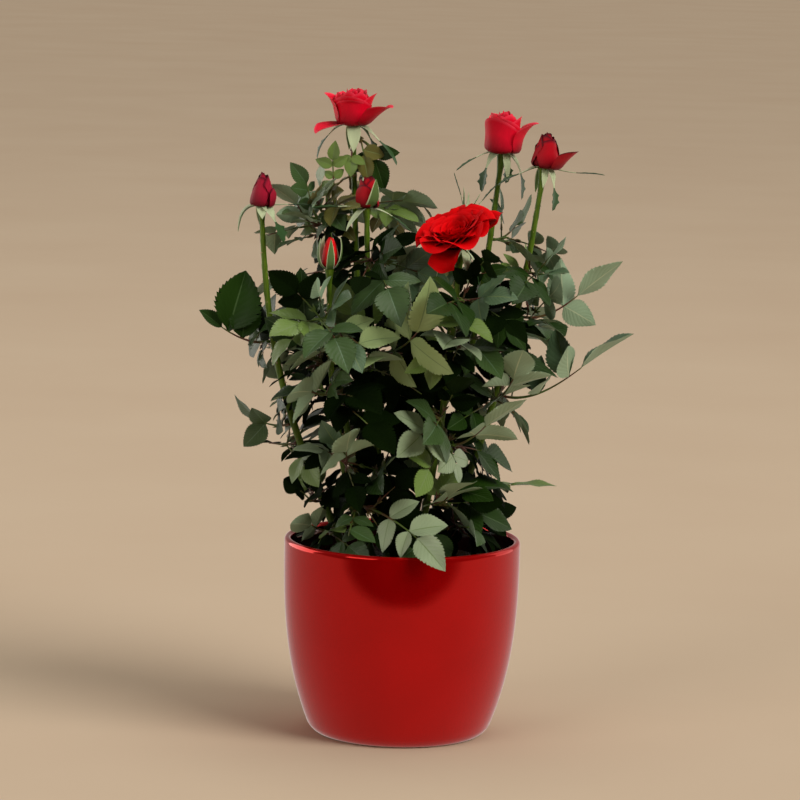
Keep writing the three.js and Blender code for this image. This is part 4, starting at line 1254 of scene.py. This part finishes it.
STEM_LEADS = (0.33, 0.38)  # how far a shoot holds its way at its foot and tip, by its reach


def shoot_stem(cane, height, tip, pitch):
    """Out from its cane, then to its end leaflet's tip"""
    share = cane_share(cane, height)
    along, axis_point = cane_along(cane, share), cane_point(cane, share)
    away = tip - axis_point
    away = (away - along * away.dot(along)).normalized()
    root = axis_point + away * (cane_radius(cane, share) + GAP)
    reach = (tip - root).length
    level = Vector((away.x, away.y, 0)).normalized()
    tip_aim = level * math.cos(math.radians(pitch)) + UP * math.sin(math.radians(pitch))
    lead_out, lead_in = STEM_LEADS
    return Stem(root, root + away * reach * lead_out, tip - tip_aim * reach * lead_in, tip)


SIDE_BOW = 0.55  # how far out a side stem's curve is led before it droops, by its length
SIDE_LIFT = 0.12  # how far side stems turn up towards the light
STEEPEST_FALL = -0.25


def side_stem(shoot, place, size, turn, angle, droop):
    """A leaf that grows from the side of a shoot, at an angle to it and turned round it"""
    start, along = shoot.point(place), shoot.tangent(place)
    sideways = UP.cross(along).normalized()
    sideways.rotate(Quaternion(along, math.radians(turn)))
    aim = along * math.cos(math.radians(angle)) + sideways * math.sin(math.radians(angle))
    aim.z = max(aim.z, STEEPEST_FALL) + SIDE_LIFT
    aim.normalize()
    return Stem(start, start + aim * size * SIDE_BOW, start + aim * size - UP * droop)


def keep_leaf(mass, stem, start, end, radii, leaflets, spray):
    """Notes a leaf in its mass, and what it takes up"""
    standing.add(*stalk_hull(stem, 0, end, radii), mass["label"])
    for leaflet in leaflets:
        standing.add(blade_hull(leaflet), BLADE_FACES, None)
    mass["leaves"].append({"stem": stem, "start": start, "end": end, "leaflets": leaflets, "spray": spray})


def grow_shoot(row, seed):
    """A mass's shoot with its end leaf"""
    label, cane, height, tip, pitch, roll, leaflet, side_leaves = row
    leaflet *= MM
    options = []
    for shift in SHIFTS:
        stem = shoot_stem(CANES[cane], height + shift, Vector(tip) * MM, pitch)
        options.append(stem)
        end = 1 - min(leaflet, (stem.length - SHORTEST_SHOOT) / LEAF["shortest"]) / stem.length
        if standing.clear(*stalk_hull(stem, 0.02, end, SHOOT_RADII), may_touch=cane):
            break
    else:
        stem = options[0]
    room = stem.length - SHORTEST_SHOOT
    start = 1 - min(leaflet * LEAF["length"], room) / stem.length
    end = 1 - min(leaflet, room / LEAF["shortest"]) / stem.length
    mass = {"label": label, "cane": cane, "leaflet": leaflet, "side_leaves": side_leaves, "seed": seed,
            "shoot": stem, "start": start, "end": end, "leaves": []}
    leaflets = grow_leaflets(plan_leaflets(stem, start, end, roll, seed, HABITS.get(label, FLAT)))
    keep_leaf(mass, stem, start, end, SHOOT_RADII, leaflets, seed)
    return mass


SIDE_DRAW = 50  # where the draws of the side leaves start, in each shoot's own series
FINE_DRAW = 150  # and those of the finer ones
SIDE_TRIES = 10
SIDE_TURN = 40  # degrees further round at each try
SIDE_OPEN = (60, 6)  # degrees away from the shoot, and more at each try
SIDE_ROLLS = (-30, 30)  # degrees about the leaf's own stalk
SIDE_LENGTHS = (0.8, 1)  # against a full leaf
SIDE_PLACES = (0.45, 0.98)  # between which side leaves stand, along the bare shoot
SIDE_SIZES = (0.82, 1)  # their leaflets, against the end leaf's
SIDE_DROOPS = (0.08, 0.3)  # how far a leaf hangs, against its length
FINE_PLACES = (0.12, 0.95)
FINE_SIZES = (0.5, 0.78)
FINE_DROOPS = (0.05, 0.4)


def grow_side_leaf(mass, i, place, size, draw, droops):
    """A leaf beside a shoot, the i-th one. Where it is in the way it is tried again,
    turned further and opened wider."""
    seed = mass["seed"]
    length = size * LEAF["length"] * between(*SIDE_LENGTHS, chance(seed, draw + 5 + i))
    droop = length * between(*droops, chance(seed, draw + 20 + i))
    first_turn = (i + 1) * GOLDEN_ANGLE + chance(seed, draw + 10 + i) * 60
    for attempt in range(SIDE_TRIES):
        turn, angle = first_turn + attempt * SIDE_TURN, SIDE_OPEN[0] + attempt * SIDE_OPEN[1]
        side = side_stem(mass["shoot"], place, length, turn, angle, droop)
        end = 1 - size / side.length
        if not standing.clear(*stalk_hull(side, 0, end, STALK_RADII), may_touch=mass["label"]):
            continue
        roll = between(*SIDE_ROLLS, chance(seed, draw + 30 + i + attempt * 7))
        plan = plan_leaflets(side, BARE_STALK, end, roll, seed + 3.7 * (i + 1) + (draw - SIDE_DRAW))
        leaflets = grow_leaflets([leaflet for leaflet in plan if in_crown(leaflet)])
        if len(leaflets) >= FEWEST_LEAFLETS:
            keep_leaf(mass, side, BARE_STALK, end, STALK_RADII, leaflets, seed + 9 * (i + 1) + draw)
            return


standing = Standing()
for name, cane in CANES.items():
    shares = np.linspace(0, 1, 13)
    path = [cane_point(cane, t) for t in shares]
    standing.add(*tube_hull(path, [cane_radius(cane, t) for t in shares], 6, CANE_SIDE), name)
for solid in ("pot", *BLOOMS):
    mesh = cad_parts[solid].data
    standing.add([tuple(v.co) for v in mesh.vertices], [tuple(p.vertices) for p in mesh.polygons], solid)

masses = []
for rows in (MASSES, TWIGS):
    grown = [grow_shoot(row, len(masses) + i + 1) for i, row in enumerate(rows)]
    for mass in grown:
        for i in range(mass["side_leaves"]):
            place = mass["start"] * between(*SIDE_PLACES, (i + 1) / mass["side_leaves"])
            size = mass["leaflet"] * between(*SIDE_SIZES, chance(mass["seed"], SIDE_DRAW + i))
            grow_side_leaf(mass, i, place, size, SIDE_DRAW, SIDE_DROOPS)
    masses += grown

# Smaller leaves in what room is left along each shoot, fewer of them where the crown is
# open
FINE_LEAVES = {
    "left_arch": 3, "left_shoulder": 2, "left_upright": 8, "left_big": 1, "left_outer": 2,
    "left_lower": 8, "left_back": 8, "front_left_high": 8, "front_left_mid": 8, "front_left_low": 7,
    "rim_front": 8, "centre_high": 7, "centre_leaf": 8, "centre_left": 8, "young_top": 8,
    "young_back": 3, "back_left_high": 9, "back_left_mid": 7, "back_left_low": 8, "front_right_high": 7,
    "front_right_low": 7, "front_right_low_b": 6, "front_low": 3, "spent_high": 9, "spent_back": 6,
    "back_right_high": 3, "back_right_mid": 7, "back_right_low": 8, "right_upper": 3, "right_high": 3,
    "right_mid": 2, "rim_right": 8,
}
USUAL_FINE_LEAVES = 5
for mass in masses[:len(MASSES)]:
    count = FINE_LEAVES.get(mass["label"], USUAL_FINE_LEAVES)
    for i in range(count):
        place = mass["start"] * between(*FINE_PLACES, (i + 0.5) / count)
        size = mass["leaflet"] * between(*FINE_SIZES, chance(mass["seed"], FINE_DRAW + i))
        grow_side_leaf(mass, i, place, size, FINE_DRAW, FINE_DROOPS)


LEAFLET_STALK = 0.035  # the bare share of a leaflet's length
STALK_BREADTH = 0.014


def leaflet_width(along):
    """Half of a leaflet's breadth: a short stalk, broadest below its middle, then
    drawn in to a point"""
    blade = max(along - LEAFLET_STALK, 0) / (1 - LEAFLET_STALK)
    width = 0.53 * math.sin(math.pi * blade ** 0.8) ** 0.82 * (1 - 0.12 * blade)
    return max(width, STALK_BREADTH if along < 0.9 else 0)


LEAFLET_ROWS = 7
LEAFLET_COLUMNS = 5
EDGE_CUTS = 3  # on each margin edge: two of these points are the tips of teeth
TOOTH = 0.1125  # how far a tooth stands out, against half the breadth there
TOOTH_LEAN = 0.0375  # how far it leans towards the tip, against the length
leaflet_form = thin_sheet(LEAFLET_ROWS, LEAFLET_COLUMNS, teeth=EDGE_CUTS)
for vertex in leaflet_form.verts:
    along, column = vertex.co.x, vertex.co.y
    column = math.copysign(np.interp(abs(column), (0.2, 0.6, 1), (0.038, 0.52, 1)), column)
    is_point = round(along * LEAFLET_ROWS * (EDGE_CUTS + 1)) % 2 == 1 and abs(vertex.co.z) < 0.5
    has_tooth = is_point and 0.08 < along < 0.97
    along += TOOTH_LEAN * has_tooth
    vertex.co.x = along
    vertex.co.y = column * leaflet_width(min(along, 1)) * (1 + TOOTH * has_tooth)
leaflet_sheet = Sheet(leaflet_form, weld=1e-4)

# Leaves low or deep in the crown mostly take the shade tone, painted nearly black as painted shade
SHADE_BELOW = 0.185  # the height up to which the crown shades its own leaves
SHADE_WITHIN = 0.72  # and the share of its breadth
YOUNG = {"left_arch", "young_top", "back_left_high", "spent_high", "right_upper"}
# Tones dealt by chance: painted shade, the plain greens, the pale and grey ones that paint light and sheen,
# and the fresh green of young leaves
DEALT_TONES = (("shade", 0.12), ("deep", 0.4), ("mid", 0.62), ("grey", 0.78), ("pale", 0.9), ("fresh", 1.1))
# The tones of a shoot's end leaf and of those beside it, where they aren't dealt by chance. Fresh and
# bronze are young leaves' own colours; the rest are set leaf by leaf as painted light and shade: shade
# where a leaf lies in shade, pale, grey and light where light falls on it
SPRAY_TONES_AND_PAINTED_LIGHT = {
    "left_arch": ("fresh", "mid"), "left_shoulder": ("mid", "mid"), "left_upright": ("deep", "mid"),
    "left_big": ("deep", "deep"), "left_outer": ("mid", "deep"), "left_back": ("deep", "grey"),
    "rim_left": ("mid", "mid"), "front_left_high": ("fresh", "light"),
    "front_left_mid": ("mid", "shade", "shade"), "front_left_low": ("deep", "shade"),
    "rim_front": ("pale", "mid", "shade"), "centre_high": ("deep", "mid", "grey"),
    "centre_leaf": ("light", "shade", "mid"), "centre_left": ("light", "mid", "shade"),
    "centre_low": ("deep", "shade"), "young_top": ("fresh", "bronze", "mid"),
    "back_left_high": ("mid", "mid", "deep"), "back_left_mid": ("shade", "deep"),
    "front_right_face": ("mid", "pale", "deep"), "front_right_high": ("grey", "deep"),
    "front_right_low": ("mid", "shade"), "front_right_low_b": ("grey", "deep"),
    "front_low": ("mid", "deep", "deep"), "right_upper": ("grey", "deep"),
    "right_face": ("grey", "deep"), "right_high": ("mid", "deep"), "right_mid": ("grey", "shade"),
    "right_low": ("fresh", "deep"), "rim_right": ("mid", "mid"), "fresh_left": ("fresh", "bronze"),
    "fresh_stem": ("fresh",), "fresh_right": ("bronze",), "hanging_right": ("deep",),
    "fresh_arch": ("mid", "grey"), "under_bloom": ("deep", "shade"),
}


def leaf_tone(mass, leaf):
    """One tone for each leaf: those deep or low in the crown are mostly painted nearly black as
    painted shade, young wood carries fresh and bronze ones, and the outer leaves are dealt the rest"""
    own_tones = SPRAY_TONES_AND_PAINTED_LIGHT.get(mass["label"], ())
    place = mass["leaves"].index(leaf)
    if place < len(own_tones):
        return own_tones[place]
    draw = chance(leaf["spray"], 77)
    if mass["label"] in YOUNG:
        return "fresh" if draw < 0.4 else "bronze" if draw < 0.65 else "mid"
    middle = leaf["stem"].point(leaf["end"])
    depth = math.hypot(middle.x, middle.y) / crown_radius(middle.z)
    if (depth < SHADE_WITHIN or middle.z < SHADE_BELOW) and draw < 0.85:
        return "shade"
    return next(tone for tone, limit in DEALT_TONES if draw < limit)


LEAFLET_THICKNESS = 0.00036
LEAFLET_WIDTHS = (0.76, 1.04)  # against the usual width
LEAFLET_FOLDS = (0.12, 0.7)  # how steeply the halves rise from the rib
LEAFLET_WAVES = (6, 12)  # radians of wave along a margin
WAVE_HEIGHTS = (0.01, 0.035)
LEAFLET_ARCHES = (1.2, 4.2)  # against its bend
LEAFLET_CURL = 0.1  # how far its tip turns aside, against its length


def leaflet_places(leaflet):
    """A leaflet's vertices: folded along its rib, waved at its margin, arched to its tip"""
    sheet, seed, length = leaflet_sheet, leaflet["seed"], leaflet["length"]
    half = sheet.across
    width = LEAF["width"] * between(*LEAFLET_WIDTHS, chance(seed, 91))
    y = half * width * length
    fold = between(*LEAFLET_FOLDS, chance(seed, 92) ** 1.3)
    waves, phase = between(*LEAFLET_WAVES, chance(seed, 94)), 6 * chance(seed, 95)
    wave = between(*WAVE_HEIGHTS, chance(seed, 93)) * np.sin(sheet.along * waves + phase)
    arch = leaflet["bend"] * between(*LEAFLET_ARCHES, chance(seed, 96) ** 2)
    turn = arch * sheet.along
    x = length * np.sin(turn) / arch
    z = -length * (1 - np.cos(turn)) / arch
    z = z + fold * np.abs(y) * (1 - 0.5 * np.abs(half)) + wave * length * 2 * half
    z = z + sheet.layer * LEAFLET_THICKNESS / 2
    y = y + length * LEAFLET_CURL * (chance(seed, 97) - 0.5) * sheet.along ** 2
    across = leaflet["face"].cross(leaflet["aim"]).normalized()
    normal = leaflet["aim"].cross(across).normalized()
    frame_of_leaflet = np.array([leaflet["aim"], across, normal])
    return np.column_stack([x, y, z]) @ frame_of_leaflet + np.array(leaflet["root"])


STIPULE_RADII = (0.0003, 0.0008, 0.0006, 0.0001)
STIPULE_LENGTHS = (0.004, 0.007)
STIPULE_SPREAD = math.radians(24)


def stipules(leaf):
    """The pair of narrow wings at the foot of a leaf's stalk, as the paths they follow"""
    stem, seed = leaf["stem"], leaf["spray"] + 5
    foot = min(leaf["start"], BARE_STALK)
    point, along = stem.point(foot), stem.tangent(foot)
    face = leaf_face(point, along, 0)
    for hand in (-1, 1):
        aim = along.copy()
        aim.rotate(Quaternion(face, hand * STIPULE_SPREAD))
        length = between(*STIPULE_LENGTHS, chance(seed, hand))
        yield [point + aim * length * share for share in (0, 0.35, 0.7, 1)]


VEINS = 8  # side veins along each half of a leaflet
VEIN_SLANT = -0.75


def leaf_material(name, hex_colour, roughness, gloss):
    """Leaf skin, quilted between side veins that run out from the midrib at a slant"""
    skin, shader = new_material(name, hex_colour, roughness, Specular_IOR_Level=gloss)
    place = add_node(skin, "ShaderNodeUVMap", {"uv_map": "UVMap"})
    parts = add_node(skin, "ShaderNodeSeparateXYZ", links={"Vector": (place, "UV")})
    middle = add_node(skin, "ShaderNodeMath", {"operation": "SUBTRACT", 1: 0.5}, {0: (parts, "X")})
    off_rib = add_node(skin, "ShaderNodeMath", {"operation": "ABSOLUTE"}, {0: (middle, "Value")})
    slant = add_node(skin, "ShaderNodeMath", {"operation": "MULTIPLY_ADD", 1: VEIN_SLANT},
                     {0: (off_rib, "Value"), 2: (parts, "Y")})
    veins = add_node(skin, "ShaderNodeMath", {"operation": "MULTIPLY", 1: VEINS}, {0: (slant, "Value")})
    ridge = add_node(skin, "ShaderNodeMath", {"operation": "PINGPONG", 1: 0.5}, {0: (veins, "Value")})
    quilt = add_node(skin, "ShaderNodeMath", {"operation": "POWER", 1: 0.6}, {0: (ridge, "Value")})
    bump = add_node(skin, "ShaderNodeBump", {"Strength": 0.6, "Distance": 0.0003},
                    {"Height": (quilt, "Value")})
    link(skin, bump, "Normal", shader, "Normal")
    return skin


# Leaf skins: waxed and half glossy above, in the greens of old and young leaves, with painted
# light and shade among them: shade and its back are painted shade, grey is painted sheen, and
# pale and light are lit copies, painted light; the backs are paler and matt. Of each: its colour, roughness
# and gloss
LEAF_SKINS = {
    "skin_shade": ("#0b1604", 0.7, 0.02),
    "skin_deep": ("#20370e", 0.45, 0.22),
    "skin_mid": ("#3b522a", 0.42, 0.4),
    "skin_grey": ("#526b4c", 0.42, 0.5),
    "skin_pale": ("#8a9a78", 0.42, 0.55),
    "skin_fresh": ("#647c3a", 0.42, 0.5),
    "skin_light": ("#8ea26a", 0.5, 0.5),
    "skin_bronze": ("#5e5c29", 0.42, 0.5),
    "back_sage": ("#8ca384", 0.62, 0.4),
    "back_bronze": ("#7b7346", 0.6, 0.4),
    "back_shade": ("#1a2810", 0.8, 0.02),
}
leaf_skins = [leaf_material(f"leaf_{skin}", *finish) for skin, finish in LEAF_SKINS.items()]
# Ribs: firm, smooth and pale green, paler still on the backs
leaf_skins.append(new_material("leaf_rib", "#6d8050", 0.5)[0])
leaf_skins.append(new_material("leaf_back_rib", "#b0bc98", 0.6)[0])
LEAF_SLOTS = {skin: i for i, skin in enumerate((*LEAF_SKINS, "rib", "back_rib"))}
DARK_LEAF_RIBS = {"deep": "skin_mid", "mid": "skin_grey"}  # only a shade lighter than their leaves
on_rib = np.abs(leaflet_sheet.middles[:, 1]) < 0.01
is_back = leaflet_sheet.backs == 1
half_breadth = np.array([max(leaflet_width(min(a, 1)), 0.02) for a in leaflet_sheet.along])
leaflet_uv = np.clip(leaflet_sheet.across / half_breadth, -1, 1)
leaflet_uv = np.column_stack([0.5 + 0.5 * leaflet_uv, leaflet_sheet.along])


def leaf_slots(tone):
    """The material slots of a leaflet's faces: blade and rib, each with its back"""
    back = LEAF_SLOTS.get(f"back_{tone}", LEAF_SLOTS["back_sage"])
    blade = np.where(is_back, back, LEAF_SLOTS[f"skin_{tone}"])
    rib = np.where(is_back, LEAF_SLOTS["back_rib"], LEAF_SLOTS[DARK_LEAF_RIBS.get(tone, "rib")])
    return blade if tone == "shade" else np.where(on_rib, rib, blade)


# Twig rind: thin leaf stalks and shoots, green with reddish brown patches where the sun
# has reached them
twig_rind, twig_shader = new_material("twig_rind", "#5b4026", 0.5)
_, twig_tone = mottle(twig_rind, {"Scale": 60, "Detail": 2}, ("#5a3325", "#4f6327"), (0.42, 0.58))
link(twig_rind, twig_tone, "Color", twig_shader, "Base Color")

MAIN_TWIG = (0.0011, 14)  # a shoot's radius at its foot, and its rings
SIDE_TWIG = (0.0006, 7)
TWIG_TIP = 0.0004
for name in CANES:
    copies, slots = [], []
    twigs = bmesh.new()
    for mass in masses:
        if mass["cane"] != name:
            continue
        for k, leaf in enumerate(mass["leaves"]):
            row = leaf_slots(leaf_tone(mass, leaf))
            for leaflet in leaf["leaflets"]:
                copies.append(leaflet_places(leaflet))
                slots.append(row)
            for path in stipules(leaf):
                add_tube(twigs, tube(path, STIPULE_RADII, 4, TWIG_SIDE))
            foot, steps = MAIN_TWIG if k == 0 else SIDE_TWIG
            shares = [i / steps for i in range(steps + 1)]
            path = [leaf["stem"].point(leaf["end"] * share) for share in shares]
            radii = [between(foot, TWIG_TIP, share ** 0.8) for share in shares]
            add_tube(twigs, tube(path, radii, 5, TWIG_SIDE))
    mesh = joined_mesh(f"{name}_leaves", copies, leaflet_sheet.faces, np.array(slots),
                       leaflet_uv, leaflet_sheet.margin)
    leaves = new_piece(f"{name}_leaves", mesh, leaf_skins)
    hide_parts(*[f"foliage_{row[0]}" for row in MASSES if row[1] == name])
    twig_mesh = bpy.data.meshes.new(f"{name}_twigs")
    twigs.to_mesh(twig_mesh)
    twigs.free()
    twig_piece = new_piece(f"{name}_twigs", twig_mesh, [twig_rind])
